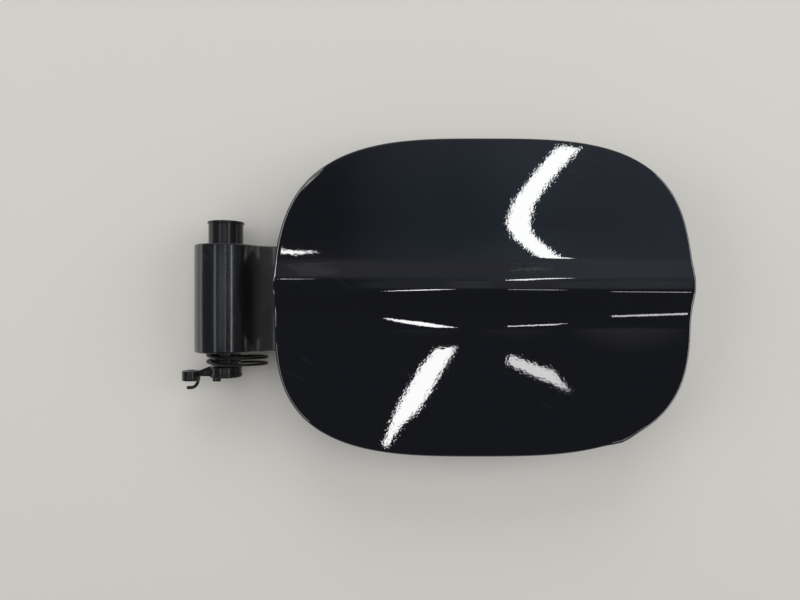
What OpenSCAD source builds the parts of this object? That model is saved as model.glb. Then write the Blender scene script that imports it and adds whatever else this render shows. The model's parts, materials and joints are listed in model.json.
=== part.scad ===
// Car fuel door with its gooseneck hinge arm, pivot, release lever and torsion spring.
// Origin on the pivot's axis, halfway along the arm's curl. +X runs from the hinge to the
// latch, +Y along the pivot and +Z out of the painted face.

/* [Door outline] */
// Left edge of the door, from the pivot's axis
door_left = 27; // [25:0.5:32]
// Right edge of the door, from the pivot's axis
door_right = 218.4; // [205:0.5:230]
// Top edge of the door
door_top = 73.5; // [66:0.5:80]
// Bottom edge of the door, below the axis' middle
door_bottom = 73.2; // [66:0.5:80]
// Where the top and bottom edges peak
outline_peak = 121; // [110:1:132]
// Height at which the door is widest
outline_waist = -6; // [-10:0.5:4]
// Squareness of the upper left corner
corner_upper_left = 3.1; // [2.6:0.05:3.8]
// Squareness of the upper right corner
corner_upper_right = 3.4; // [2.6:0.05:3.8]
// Squareness of the lower left corner
corner_lower_left = 3.15; // [2.6:0.05:3.8]
// Squareness of the lower right corner
corner_lower_right = 3.1; // [2.6:0.05:3.8]

/* [Door face] */
// Height of the crease line above the pivot's axis
crease_height = 24.5; // [23:0.25:27]
// Upper break of the crease line
crease_top = 8.7; // [7:0.1:10]
// Lower break of the crease line
crease_foot = 3.3; // [2:0.1:5]
// Foot of the bevel above the crease
bevel_end = 17; // [16:0.25:18]
// Middle of the hollow between the bevel and the upper field
hollow_mid = 25; // [24:0.25:27]
// Middle of the hollow at the flank's foot below the crease
flank_end = -8.5; // [-10:0.25:-7.5]
// Slope of the bevel above the crease
bevel_slope = 0.31; // [0.24:0.01:0.36]
// Slope at the lower end of the upper hollow
hollow_slope = 0.16; // [0.1:0.01:0.22]
// Slope of the flank below the crease
flank_slope = 0.42; // [0.3:0.01:0.46]
// Half the width over which a crease break is rounded
crease_round = 1.3; // [0.8:0.1:2]
// Half the width over which the bevel meets the hollow
bevel_round = 1.5; // [1:0.1:2]
// Half the width of the upper hollow
hollow_round = 9; // [7.5:0.25:10]
// Half the width of the hollow at the flank's foot
flank_round = 5.6; // [4:0.1:6.5]
// Crown radius of the face from top to bottom
crown_across = 900; // [700:25:1400]
// Crown radius of the face from hinge to latch
crown_along = 3000; // [1800:100:6000]

/* [Door sheets] */
// Thickness of the outer skin
skin_t = 0.8; // [0.7:0.05:0.9]
// Thickness of the inner panel
panel_t = 0.7; // [0.6:0.05:0.8]
// Roll of the skin's edge over the hem
edge_roll = 1.3; // [1:0.05:1.6]
// Width of the hem
hem_w = 9; // [7:0.5:10]
// Clearance between the sheets in the hem
hem_gap = 0.15; // [0.1:0.01:0.2]
// Top of the inner panel's flat field
panel_z = 12.5; // [11.5:0.25:13.5]
// Width of the inner panel's sloping wall
panel_wall_w = 9; // [7:0.5:12]
// Height of the inner panel's stiffening rib
rib_h = 1.6; // [1:0.1:2]
// Height at which the inner panel's stiffening rib runs
rib_y = -33; // [-38:1:-28]
// Half the width of the stiffening rib
rib_w = 7; // [5:0.5:8]
// Length of the stiffening rib's level top
rib_len = 80; // [60:2:84]
// Length of the rib's run-out at each end
rib_end = 25; // [18:1:26]
// Radius of a mastic pad
mastic_r = 8; // [5:0.5:10]

/* [Dents] */
// How far the bent corner stands out of the outline
bent_corner_out = 1.1; // [0.5:0.1:2]
// Reach of the bent corner along the edge
bent_corner_reach = 9; // [5:0.5:14]
// Depth of the dent near the bent corner
dent_depth = 0.5; // [0.2:0.05:0.8]
// Radius of the dent
dent_r = 5; // [3:0.5:8]

/* [Hinge arm] */
// Thickness of the arm's sheet
arm_t = 2.5; // [2:0.1:2.8]
// Width of the arm
arm_w = 51.6; // [48:0.1:56]
// Outside radius of the curl round the pivot
curl_r = 14.8; // [14.2:0.1:15.6]
// Angle at which the curl ends, at its foot
curl_end = 275; // [266:1:282]
// Top of the arm's web, below the pivot's axis
web_drop = 3; // [2:0.25:5]
// Inside radius of the valley between curl and web
valley_r = 12; // [8:0.25:14]
// Where the web turns up under the door
web_end = 38; // [34:0.5:44]
// Middle radius of the two bends under the door
rise_r = 10; // [8:0.5:12]
// Slope of the rise
rise_angle = 50; // [42:1:58]
// Where the mounting plate ends
plate_end = 112; // [108:0.5:120]
// Width of the mounting plate's far end
plate_end_w = 42; // [36:0.5:46]
// Corner radius of the mounting plate
plate_corner = 7; // [4:0.5:10]
// Radius of the arm's studs
stud_r = 3; // [2.5:0.1:3.2]
// Length of the arm's studs below the panel
stud_len = 10; // [9:0.5:12]
// Clearance of a stud in its hole
stud_gap = 0.3; // [0.2:0.05:0.5]
// Distance between the two studs that stand side by side
stud_span = 28; // [22:0.5:32]
// Place of the two studs that stand side by side
stud_x = 80; // [78:0.5:84]
// Place of the single stud
stud_far_x = 101; // [96:0.5:103]

/* [Pivot] */
// Radius of the pivot barrel
barrel_r = 8.2; // [7.8:0.02:8.4]
// How far the barrel stands above the arm
barrel_out = 11.4; // [9:0.1:13]
// Width of the lip on the barrel's head
lip_w = 0.55; // [0.2:0.05:0.8]
// Height of the lip on the barrel's head
lip_h = 1.2; // [1:0.1:2]
// Outside radius of the steel tube
tube_r = 4.4; // [4.2:0.05:4.6]
// Radius of the tube's bore
bore_r = 3.1; // [2.8:0.05:3.3]
// Running clearance of the pivot in its bushes
run_gap = 0.06; // [0.03:0.01:0.1]
// Clearance of a fixed piece on its seat
seat_gap = 0.05; // [0.03:0.01:0.1]
// Wall of the bushes
bush_wall = 1.2; // [1:0.05:1.4]
// Thickness of the bush flanges
bush_flange_t = 1; // [0.8:0.1:1.4]
// Width of the bush flanges
bush_flange_w = 1.6; // [1.2:0.1:1.8]
// Thickness of the ears inside the curl
ear_t = 2.5; // [2:0.1:3]
// Thickness of the thrust washer
washer_t = 0.7; // [0.5:0.05:1]
// Radius of the thrust washer
washer_r = 7; // [6.2:0.1:7.4]

/* [Lever end] */
// Radius of the spacer collar
collar_r = 7.15; // [6.6:0.05:7.5]
// Length of the spacer collar
collar_len = 5.55; // [5:0.05:6]
// Chamfer of the spacer collar
collar_chamfer = 0.8; // [0.4:0.1:1.2]
// Radius of the collar's neck
neck_r = 5.7; // [5.3:0.05:6.2]
// Length of the collar's neck
neck_len = 1.2; // [0.8:0.05:1.6]
// Gap between the collar and the arm
collar_gap = 0.3; // [0.25:0.01:0.5]
// Radius of the lever's hub
hub_r = 7.7; // [7.3:0.05:8]
// Length of the lever's hub
hub_len = 5.3; // [4.8:0.05:6]
// Depth of the lever's arm, along Z
lever_depth = 5; // [4:0.1:6]
// Radius of the lever's eye
eye_r = 4.3; // [4:0.05:4.8]
// Distance from the pivot's axis to the eye
eye_x = 17; // [16.8:0.1:18]
// Length of the eye along the pivot's axis
eye_len = 4.9; // [4.4:0.05:5.4]
// How far the eye sits below the hub's middle
eye_drop = 2; // [1.5:0.1:2.5]
// Radius of the eye's hole
eye_hole_r = 1.9; // [1.6:0.05:2.2]
// Thickness of the cable hook
hook_t = 1.6; // [1.3:0.05:1.9]
// Outside radius of the cable hook's bend
hook_r = 4.3; // [4:0.05:4.6]
// Length of the hook's straight tip
hook_tip = 1.2; // [0.8:0.1:2]
// Width of the stop tab under the hub
tab_w = 3.8; // [3:0.1:4.2]
// How far the stop tab stands under the hub
tab_len = 1.4; // [1:0.1:2]
// Radius of the retaining clip
clip_r = 5.4; // [5.2:0.05:5.6]
// Depth at which the clip lies in the hub
clip_depth = 0.8; // [0.6:0.05:1]
// Thickness of the retaining clip
clip_t = 0.6; // [0.5:0.05:0.8]

/* [Torsion spring] */
// Diameter of the wire
wire_d = 1.3; // [1.1:0.05:1.4]
// Middle radius of the coil
coil_r = 14; // [13.6:0.1:14.2]
// Rise of the coil in one turn
coil_pitch = 3; // [2.8:0.05:3.2]
// How far the loose coil hangs off the axis
coil_shift = 5.8; // [5.4:0.1:6]
// Height of the coil's centre above the axis
coil_lift = 0.5; // [0:0.1:1]
// Angle at which the first leg leaves the coil
coil_start = -30; // [-36:1:-26]
// Angle at which the second leg leaves the coil
coil_stop = 690; // [680:1:696]
// Distance from the arm to the middle of the first turn
coil_offset = 1; // [0.9:0.05:1.2]
// Length of the leg that hooks into the arm
leg_len = 4; // [3.6:0.1:5]
// Clearance of the leg in its hole
leg_gap = 0.3; // [0.2:0.05:0.4]

/* [Latch and fittings] */
// Middle of the latch striker
striker_x = 182; // [178:0.5:183]
// Height at which the striker stands
striker_y = 5; // [0:0.5:10]
// Thickness of the striker's tongue
striker_t = 3; // [2.5:0.1:4]
// Width of the striker's tongue
striker_w = 15; // [14:0.5:15.5]
// Gap between the striker's tongue and its nuts
striker_nut_gap = 1.1; // [0.8:0.1:2]
// Thickness of the striker's foot
striker_foot_t = 2; // [1.5:0.1:2.5]
// Width of the window in the striker
window_w = 9; // [8:0.25:10]
// Height of the window in the striker
window_h = 8; // [7:0.25:9]
// Material of the striker below its window
window_foot = 4; // [3:0.25:5]
// Radius of the striker's studs
striker_stud_r = 2; // [1.8:0.05:2.2]
// Material of the striker's foot beyond the middle of its studs
striker_foot_out = 4; // [3.5:0.1:5]
// Radius of a rubber stop
stop_r = 5; // [4:0.25:6]
// Height of a rubber stop
stop_h = 7; // [5:0.25:9]
// Place of the hinge side stops
stop_near_x = 68; // [66:1:76]
// Place of the latch side stops
stop_far_x = 172; // [160:1:174]
// Height of the stops above and below the middle
stop_y = 40; // [36:1:42]
// Middle of the cap holder
holder_x = 148; // [140:1:152]
// Radius of the cap holder's clips
holder_clip_r = 1.8; // [1.5:0.1:2]
// Radius of the clips' heads
holder_head_r = 3.6; // [3:0.1:4]
// Distance between the cap holder's two hooks
holder_gap = 12; // [10:0.5:14]
// Thickness of the cap holder's walls
holder_t = 2; // [1.8:0.1:2.4]
// Depth of the cap holder
holder_depth = 14; // [12:0.5:16]

/* [Hidden] */
$fn = 48;
eps = 0.01;
reach = 300;

paint = "#15181d";
steel = "#8d9094";
black_plastic = "#1d1e20";
white_nylon = "#d8d6cc";
rubber = "#242424";
spring_steel = "#3a3733";
mastic = "#57544c";

// Outline: one superellipse quadrant for each corner
half_up = door_top - outline_waist;
half_down = door_bottom + outline_waist;
half_left = outline_peak - door_left;
half_right = door_right - outline_peak;

function run_left(y) =
    let (up = y > outline_waist, n = up ? corner_upper_left : corner_lower_left,
         v = min(1, abs(y - outline_waist) / (up ? half_up : half_down)))
    half_left * pow(1 - pow(v, n), 1 / n);
function run_right(y) =
    let (up = y > outline_waist, n = up ? corner_upper_right : corner_lower_right,
         v = min(1, abs(y - outline_waist) / (up ? half_up : half_down)))
    half_right * pow(1 - pow(v, n), 1 / n);
function edge_y(x, up) =
    let (left = x < outline_peak,
         n = up ? (left ? corner_upper_left : corner_upper_right)
                : (left ? corner_lower_left : corner_lower_right),
         u = min(1, abs(x - outline_peak) / (left ? half_left : half_right)))
    outline_waist + (up ? half_up : -half_down) * pow(1 - pow(u, n), 1 / n);

// Section of the face: straight stretches whose breaks are rounded by short parabolas
function soft_ramp(t, w) = t < -w ? 0 : t > w ? t : pow(t + w, 2) / (4 * w);
function crease_drop(y) =
    bevel_slope * soft_ramp(y - crease_top, crease_round)
    - (bevel_slope - hollow_slope) * soft_ramp(y - bevel_end, bevel_round)
    - hollow_slope * soft_ramp(y - hollow_mid, hollow_round)
    + flank_slope * (soft_ramp(crease_foot - y, crease_round) - soft_ramp(flank_end - y, flank_round));
crown_y = (crease_top + crease_foot) / 2;
function bell(r, reach_r) = r > reach_r ? 0 : pow(1 - pow(r / reach_r, 2), 2);
bent_corner_share = 0.887;
bent_corner_y = outline_waist - half_down * bent_corner_share;
bent_corner_x = outline_peak + run_right(bent_corner_y);
dent_right = 8.5;
dent_up = 14;
dent_x = bent_corner_x + dent_right;
dent_y = bent_corner_y + dent_up;
function face_z(x, y) =
    crease_height - crease_drop(y)
    - pow(y - crown_y, 2) / (2 * crown_across)
    - pow(x - outline_peak, 2) / (2 * crown_along)
    - dent_depth * bell(norm([x - dent_x, y - dent_y]), dent_r);

// Rows run level from edge to edge, close together over the crease line and at the corners
corner_angles = [for (a = [80:-7:24]) a];
rows_low = [for (a = corner_angles) outline_waist - half_down * sin(a)];
break_steps = [-1:0.5:1];
rows_crease = concat(
    [for (k = break_steps) flank_end + k * flank_round],
    [for (k = break_steps) crease_foot + k * crease_round],
    [for (k = break_steps) crease_top + k * crease_round],
    [for (k = [-1, -0.3, 0.3, 1]) bevel_end + k * bevel_round],
    [for (k = [-0.5:0.5:1]) hollow_mid + k * hollow_round]
);
rows_high = [for (i = [len(corner_angles) - 1:-1:0]) outline_waist + half_up * sin(corner_angles[i])];
row_gap = 1;
rib_foot = rib_y - rib_w;
rows_rib = [for (k = break_steps) rib_y + k * rib_w];
rows = concat(
    [for (y = rows_low) if (y < rib_foot - row_gap) y],
    rows_rib,
    rows_crease,
    [for (y = rows_high) if (y > hollow_mid + hollow_round + row_gap) y]
);
last_row = len(rows) - 1;

// The loop of outline points: bottom row, right ends, top row, left ends
function outline_loop(cols) = concat(
    [for (i = [0:cols]) let (x = row_x(0, i / cols)) [x, edge_y(x, false)]],
    [for (j = [1:last_row - 1]) [outline_peak + run_right(rows[j]), rows[j]]],
    [for (i = [cols:-1:0]) let (x = row_x(last_row, i / cols)) [x, edge_y(x, true)]],
    [for (j = [last_row - 1:-1:1]) [outline_peak - run_left(rows[j]), rows[j]]]
);
function row_x(j, s) = let (a = run_left(rows[j]), b = run_right(rows[j])) outline_peak - a + s * (a + b);
function unit(v) = v / norm(v);
function loop_normals(loop) =
    let (n = len(loop))
    [for (i = [0:n - 1]) let (t = unit(loop[(i + 1) % n] - loop[(i + n - 1) % n])) [t[1], -t[0]]];
function bent(p, normal) =
    p + normal * bent_corner_out * max(0, 1 - norm(p - [bent_corner_x, bent_corner_y]) / bent_corner_reach);

// A ring of the sheet: inset from the outline, drop below the face, and how far the height
// has gone over to the flat field
function sheet_z(p, drop, flat, field) = (1 - flat) * (face_z(p[0], p[1]) - drop) + flat * field;
function sheet_ring(loop, normals, step) =
    [for (i = [0:len(loop) - 1])
        let (p = bent(loop[i], normals[i]) - normals[i] * step[0])
        [p[0], p[1], sheet_z(p, step[1], step[2], step[3])]];

// The inside of a ring, row by row, without the ring's own points
function sheet_field(loop, normals, cols, step, rib) =
    let (n = len(loop), m = last_row)
    [for (j = [1:m - 1])
        let (ir = cols + j, il = n - j,
             r = loop[ir] - normals[ir] * step[0], l = loop[il] - normals[il] * step[0])
        for (i = [1:cols - 1])
            let (p = l + (r - l) * i / cols)
            [p[0], p[1], sheet_z(p, step[1], step[2], step[3] + rib * rib_shape(p))]];
function rib_shape(p) =
    bell(abs(p[1] - rib_y), rib_w) * bell(max(0, abs(p[0] - outline_peak) - rib_len / 2), rib_end);

// Index of grid point (i, j): on the ring where it is at the edge, else in the field
function grid_at(i, j, cols, ring0, field0) =
    j == 0 ? ring0 + i
    : j == last_row ? ring0 + cols + last_row + (cols - i)
    : i == cols ? ring0 + cols + j
    : i == 0 ? ring0 + 2 * cols + 2 * last_row - j
    : field0 + (j - 1) * (cols - 1) + i - 1;
function grid_faces(cols, ring0, field0, up) =
    [for (j = [0:last_row - 1], i = [0:cols - 1])
        let (a = grid_at(i, j, cols, ring0, field0), b = grid_at(i + 1, j, cols, ring0, field0),
             c = grid_at(i + 1, j + 1, cols, ring0, field0), d = grid_at(i, j + 1, cols, ring0, field0))
        each (up ? [[a, c, b], [a, d, c]] : [[a, b, c], [a, c, d]])];
function band_faces(n, from, to) =
    [for (i = [0:n - 1])
        let (a = from + i, b = from + (i + 1) % n, c = to + (i + 1) % n, d = to + i)
        each [[a, b, c], [a, c, d]]];

// A pressed sheet: its steps run from the upper field's rim, round the edge, to the lower one's
module pressed_sheet(cols, steps, rib) {
    loop = outline_loop(cols);
    normals = loop_normals(loop);
    n = len(loop);
    last = len(steps) - 1;
    field_n = (cols - 1) * (last_row - 1);
    rings_end = n * len(steps);
    points = concat(
        [for (s = steps) each sheet_ring(loop, normals, s)],
        sheet_field(loop, normals, cols, steps[0], rib),
        sheet_field(loop, normals, cols, steps[last], rib)
    );
    faces = concat(
        grid_faces(cols, 0, rings_end, true),
        [for (k = [0:last - 1]) each band_faces(n, k * n, (k + 1) * n)],
        grid_faces(cols, last * n, rings_end + field_n, false)
    );
    polyhedron(points, faces);
}

// Levels through the hem, measured down from the face
hem_slot = panel_t + 2 * hem_gap;
hem_floor = skin_t + hem_slot;
hem_under = hem_floor + skin_t;
roll_angles = [0:22.5:90];

module outer_skin() {
    steps = concat(
        [for (a = roll_angles) [edge_roll * (1 - sin(a)), edge_roll * (1 - cos(a)), 0, 0]],
        [[0.4, hem_under, 0, 0], [hem_w, hem_under, 0, 0], [hem_w, hem_floor, 0, 0],
         [edge_roll, hem_floor, 0, 0], [edge_roll, skin_t, 0, 0]]
    );
    color(paint) pressed_sheet(22, steps, 0);
}

// The inner panel's rim lies in the hem, and its wall slopes down to a flat field
panel_rim = edge_roll + 0.8;
panel_rim_drop = skin_t + hem_gap;
panel_wall_in = hem_w + 1.5;
panel_field_in = panel_wall_in + panel_wall_w;
panel_under = panel_z - panel_t;
module inner_panel() {
    steps = [
        [panel_field_in, 0, 1, panel_z],
        [panel_wall_in, panel_rim_drop, 0, 0],
        [panel_rim, panel_rim_drop, 0, 0],
        [panel_rim, panel_rim_drop + panel_t, 0, 0],
        [panel_wall_in, panel_rim_drop + panel_t, 0, 0],
        [panel_field_in, 0, 1, panel_under]
    ];
    color(paint) pressed_sheet(14, steps, rib_h);
}

// Mastic pads fill the space between the flat field and the skin
mastic_places = [[84, 34], [84, -16], [150, 36], [150, -16], [120, 6]];
function under_skin(x, y) =
    min([for (a = [0:30:330]) face_z(x + mastic_r * cos(a), y + mastic_r * sin(a))]) - skin_t;
module mastic_pads() {
    color(mastic)
    for (p = mastic_places)
        translate([p[0], p[1], panel_z])
        cylinder(r = mastic_r,
            h = min(under_skin(p[0], p[1]), face_z(p[0], p[1]) - skin_t) - panel_z - hem_gap);
}

// Middle line of the arm's sheet in the XZ plane, as points with their upward normal
function bend(centre, r, from, to, out) =
    [for (k = [0:12])
        let (a = from + (to - from) * k / 12)
        [centre + r * [cos(a), sin(a)], out * [cos(a), sin(a)]]];
half_t = arm_t / 2;
web_mid = -web_drop - half_t;
plate_mid = panel_under - half_t;
curl_mid_r = curl_r - half_t;
rise_foot = [web_end + rise_r * sin(rise_angle), web_mid + rise_r * (1 - cos(rise_angle))];
rise_head_z = plate_mid - rise_r * (1 - cos(rise_angle));
rise_head_x = rise_foot[0] + (rise_head_z - rise_foot[1]) / tan(rise_angle);
rise_centre_x = rise_head_x + rise_r * sin(rise_angle);
curl_steps = 45;
valley_z = valley_r - web_drop;
curl_start = asin(valley_z / (curl_r + valley_r));
valley_centre = [(curl_r + valley_r) * cos(curl_start), valley_z];
arm_line = concat(
    [for (k = [0:curl_steps])
        let (a = curl_end + (curl_start - curl_end) * k / curl_steps)
        [curl_mid_r * [cos(a), sin(a)], [cos(a), sin(a)]]],
    bend(valley_centre, valley_r + half_t, 180 + curl_start, 270, -1),
    bend([web_end, web_mid + rise_r], rise_r, 270, 270 + rise_angle, -1),
    bend([rise_centre_x, plate_mid - rise_r], rise_r, 90 + rise_angle, 90, 1),
    [[[plate_end, plate_mid], [0, 1]]]
);
arm_outline = concat(
    [for (p = arm_line) p[0] + half_t * p[1]],
    [for (i = [len(arm_line) - 1:-1:0]) arm_line[i][0] - half_t * arm_line[i][1]]
);
half_w = arm_w / 2;
ear_in = half_w - ear_t;

// Turns a shape drawn in X and Z into one that runs along +Y from y to y + length
module along_y(y, length) {
    translate([0, y + length, 0]) rotate([90, 0, 0]) linear_extrude(length) children();
}
module rod_y(r, y, length) {
    translate([0, y, 0]) rotate([-90, 0, 0]) cylinder(r = r, h = length);
}
module arm_plan() {
    taper_x = rise_centre_x + 6;
    end_y = plate_end_w / 2 - plate_corner;
    polygon([[-reach, -half_w], [taper_x, -half_w], [plate_end - plate_corner, -end_y - plate_corner],
             [plate_end - plate_corner, end_y + plate_corner], [taper_x, half_w], [-reach, half_w]]);
    translate([taper_x, -end_y]) square([plate_end - taper_x, 2 * end_y]);
    for (s = [-1, 1]) translate([plate_end - plate_corner, s * end_y]) circle(plate_corner);
}
stud_places = [[stud_x, stud_span / 2], [stud_x, -stud_span / 2], [stud_far_x, 0]];
upper_bush_r = barrel_r + run_gap + bush_wall;
lower_bush_r = tube_r + run_gap + bush_wall;
leg_x = coil_shift - coil_r * cos(coil_start);
leg_z = coil_lift + coil_r * sin(coil_start);
module hinge_arm() {
    color(paint)
    difference() {
        union() {
            intersection() {
                along_y(-half_w, arm_w) polygon(arm_outline);
                translate([0, 0, -reach / 2]) linear_extrude(reach) arm_plan();
            }
            for (y = [-half_w, ear_in]) rod_y(curl_mid_r, y, ear_t);
        }
        rod_y(upper_bush_r + seat_gap, ear_in - eps, ear_t + 2 * eps);
        rod_y(lower_bush_r + seat_gap, -half_w - eps, ear_t + 2 * eps);
        translate([leg_x, 0, leg_z]) rod_y(wire_d / 2 + leg_gap, -half_w - eps, ear_t + 2 * eps);
        for (p = stud_places)
            translate([p[0], p[1], plate_mid - arm_t]) cylinder(r = stud_r + stud_gap, h = 2 * arm_t);
    }
}
module arm_studs() {
    color(steel)
    for (p = stud_places)
        translate([p[0], p[1], panel_under - stud_len]) cylinder(r = stud_r, h = stud_len);
}
nut_h = 5;
nut_flange_h = 1.2;
nut_flange_share = 2.2;
nut_share = 1.85;
module flange_nut(thread_r) {
    difference() {
        union() {
            cylinder(r = thread_r * nut_flange_share, h = nut_flange_h);
            cylinder(r = thread_r * nut_share, h = nut_h, $fn = 6);
        }
        translate([0, 0, -eps]) cylinder(r = thread_r + seat_gap, h = nut_h + 2 * eps);
    }
}
module arm_nuts() {
    color(steel)
    for (p = stud_places)
        translate([p[0], p[1], plate_mid - half_t]) mirror([0, 0, 1]) flange_nut(stud_r);
}

// Bushes sit in the ears with their flanges inside the curl
module bush(outer_r, inner_r, y_in, away) {
    difference() {
        union() {
            rod_y(outer_r, min(y_in, y_in + away * ear_t), ear_t);
            rod_y(outer_r + bush_flange_w, min(y_in, y_in - away * bush_flange_t), bush_flange_t);
        }
        rod_y(inner_r, -reach / 2, reach);
    }
}
module upper_bush() {
    color(white_nylon) bush(upper_bush_r, barrel_r + run_gap, ear_in, 1);
}
module lower_bush() {
    color(white_nylon) bush(lower_bush_r, tube_r + run_gap, -ear_in, -1);
}

// The pivot stays on the car: a steel tube in a plastic barrel, held at the lever end
flange_y = -ear_in + bush_flange_t;
washer_y = flange_y + collar_gap / 2;
barrel_foot = washer_y + washer_t;
barrel_top = half_w + barrel_out;
module pivot_barrel() {
    color(black_plastic)
    difference() {
        union() {
            rod_y(barrel_r, barrel_foot, barrel_top - barrel_foot - eps);
            rod_y(barrel_r + lip_w, barrel_top - lip_h, lip_h);
        }
        rod_y(tube_r + seat_gap, -reach / 2, reach);
    }
}
module thrust_washer() {
    color(white_nylon)
    difference() {
        rod_y(washer_r, washer_y, washer_t);
        rod_y(tube_r + seat_gap, -reach / 2, reach);
    }
}
collar_y = -half_w - collar_gap;
hub_y = collar_y - collar_len - neck_len;
hub_foot = hub_y - hub_len;
clip_y = hub_foot + clip_depth;
recess_r = clip_r + seat_gap;
module pivot_tube() {
    color(steel)
    difference() {
        rod_y(tube_r, hub_foot, barrel_top - hub_foot);
        rod_y(bore_r, -reach / 2, reach);
    }
}
module spacer_collar() {
    color(black_plastic)
    translate([0, collar_y, 0]) rotate([90, 0, 0])
    rotate_extrude()
    polygon([[tube_r + seat_gap, 0], [collar_r, 0], [collar_r, collar_len - collar_chamfer],
             [collar_r - collar_chamfer, collar_len], [neck_r, collar_len],
             [neck_r, collar_len + neck_len], [tube_r + seat_gap, collar_len + neck_len]]);
}
eye_y = hub_foot + hub_len / 2 - eye_drop;
hook_y = eye_y - eye_len / 2;
plate_rise = 0.55;
lever_foot = hub_foot + plate_rise;
flange_t = 0.9;
rib_t = 0.7;
sink = 0.25;
tab_inset = 0.5;
module lever_side() {
    polygon([[-eye_x, lever_foot], [-tube_r - 1, lever_foot], [-tube_r - 1, hub_y], [-hub_r * 0.97, hub_y],
             [-eye_x + eye_r, eye_y + eye_len / 2], [-eye_x, eye_y + eye_len / 2]]);
}
module lever_plate(z, t) {
    translate([0, 0, z]) linear_extrude(t) lever_side();
}
module hook() {
    mid_x = -eye_x + eye_r - hook_r - sink;
    translate([mid_x, hook_y + sink, -hook_t / 2]) {
        intersection() {
            difference() {
                cylinder(r = hook_r, h = hook_t);
                translate([0, 0, -eps]) cylinder(r = hook_r - hook_t, h = hook_t + 2 * eps);
            }
            translate([0, -hook_r - eps, 0]) cube([hook_r + eps, hook_r + eps, hook_t]);
        }
        translate([-hook_tip, -hook_r, 0]) cube([hook_tip + eps, hook_t, hook_t]);
        translate([-hook_tip, hook_t / 2 - hook_r, 0]) cylinder(r = hook_t / 2, h = hook_t);
    }
}
module hook_lever() {
    color(black_plastic)
    difference() {
        union() {
            rod_y(hub_r, hub_foot, hub_len);
            lever_plate(-lever_depth / 2, flange_t);
            lever_plate(-rib_t / 2, rib_t);
            lever_plate(lever_depth / 2 - flange_t, flange_t);
            intersection() {
                lever_plate(-lever_depth / 2, lever_depth);
                for (x = [-eye_x + eye_r - sink, -hub_r - rib_t + sink])
                    translate([x, hub_foot - eps, -lever_depth / 2]) cube([rib_t, hub_len, lever_depth]);
            }
            translate([-eye_x, 0, 0]) rod_y(eye_r, eye_y - eye_len / 2, eye_len);
            hook();
            // Stop tab under the hub's rim
            translate([-tab_w - tab_inset, hub_foot - tab_len, recess_r + tab_inset])
                cube([tab_w, tab_len + 1, hub_r - recess_r - 2 * tab_inset]);
        }
        rod_y(tube_r + seat_gap, -reach / 2, reach);
        rod_y(recess_r, hub_foot - eps, clip_depth + clip_t + seat_gap);
        translate([-eye_x, 0, 0]) rod_y(eye_hole_r, hook_y - eps, eye_len + 2 * eps);
    }
}
clip_slot = 1.6;
module retaining_clip() {
    color(steel)
    difference() {
        rod_y(clip_r, clip_y, clip_t);
        rod_y(tube_r + 0.02, -reach / 2, reach);
        translate([-clip_slot / 2, clip_y - eps, -reach / 2])
            cube([clip_slot, clip_t + 2 * eps, reach / 2]);
    }
}

// Wire of the spring: a leg into the arm, two loose turns round the collar, a leg to the lever
coil_y = -half_w - coil_offset;
coil_steps = 48;
tail_step = [-2.5, -0.6, -0.4];
function coil_point(a) =
    [coil_shift - coil_r * cos(a), coil_y - coil_pitch * (a - coil_start) / 360,
     coil_lift + coil_r * sin(a)];
wire_line = concat(
    [coil_point(coil_start) + [0, leg_len, 0]],
    [for (k = [0:coil_steps]) coil_point(coil_start + (coil_stop - coil_start) * k / coil_steps)],
    [coil_point(coil_stop) + tail_step]
);
function tangent(line, i) = unit(line[min(i + 1, len(line) - 1)] - line[max(i - 1, 0)]);
wire_sides = 8;
module torsion_spring() {
    n = len(wire_line);
    hub_axis = [coil_shift, 0, coil_lift];
    points = [for (i = [0:n - 1])
        let (t = tangent(wire_line, i),
             out = wire_line[i] - hub_axis,
             side = unit(cross(t, [out[0], 0, out[2]])),
             up = cross(side, t))
        for (k = [0:wire_sides - 1])
            let (turn = k * 360 / wire_sides)
            wire_line[i] + wire_d / 2 * (cos(turn) * side + sin(turn) * up)];
    faces = concat(
        [[for (k = [0:wire_sides - 1]) k]],
        [for (i = [0:n - 2], k = [0:wire_sides - 1])
            let (a = i * wire_sides, b = (k + 1) % wire_sides)
            each [[a + k, a + wire_sides + k, a + wire_sides + b], [a + k, a + wire_sides + b, a + b]]],
        [[for (k = [wire_sides - 1:-1:0]) (n - 1) * wire_sides + k]]
    );
    color(spring_steel) polyhedron(points, faces);
}

// Striker: a foot on two studs, and a tongue with the latch's window
floor_z = -curl_r;
tongue_len = panel_under - striker_foot_t - floor_z;
tongue_r = 4;
striker_foot_d = 14;
striker_stud_len = 8;
striker_stud_span = striker_w + 2 * (nut_flange_share * striker_stud_r + striker_nut_gap);
striker_foot_w = striker_stud_span + 2 * striker_foot_out;
module latch_striker() {
    color(steel)
    difference() {
        union() {
            translate([striker_x - striker_foot_w / 2, striker_y - striker_foot_d / 2,
                panel_under - striker_foot_t])
                cube([striker_foot_w, striker_foot_d, striker_foot_t]);
            translate([striker_x, striker_y - striker_t / 2, 0])
            along_y(0, striker_t) {
                translate([-striker_w / 2, floor_z + tongue_r])
                    square([striker_w, tongue_len - tongue_r + eps]);
                translate([tongue_r - striker_w / 2, floor_z])
                    square([striker_w - 2 * tongue_r, 2 * tongue_r]);
                for (s = [-1, 1])
                    translate([s * (striker_w / 2 - tongue_r), floor_z + tongue_r])
                    circle(tongue_r);
            }
        }
        translate([striker_x - window_w / 2, striker_y - striker_t, floor_z + window_foot])
            cube([window_w, 2 * striker_t, window_h]);
        for (s = [-1, 1])
            translate([striker_x + s * striker_stud_span / 2, striker_y, panel_under - 2 * striker_foot_t])
            cylinder(r = striker_stud_r + stud_gap, h = 3 * striker_foot_t);
    }
}
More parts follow.
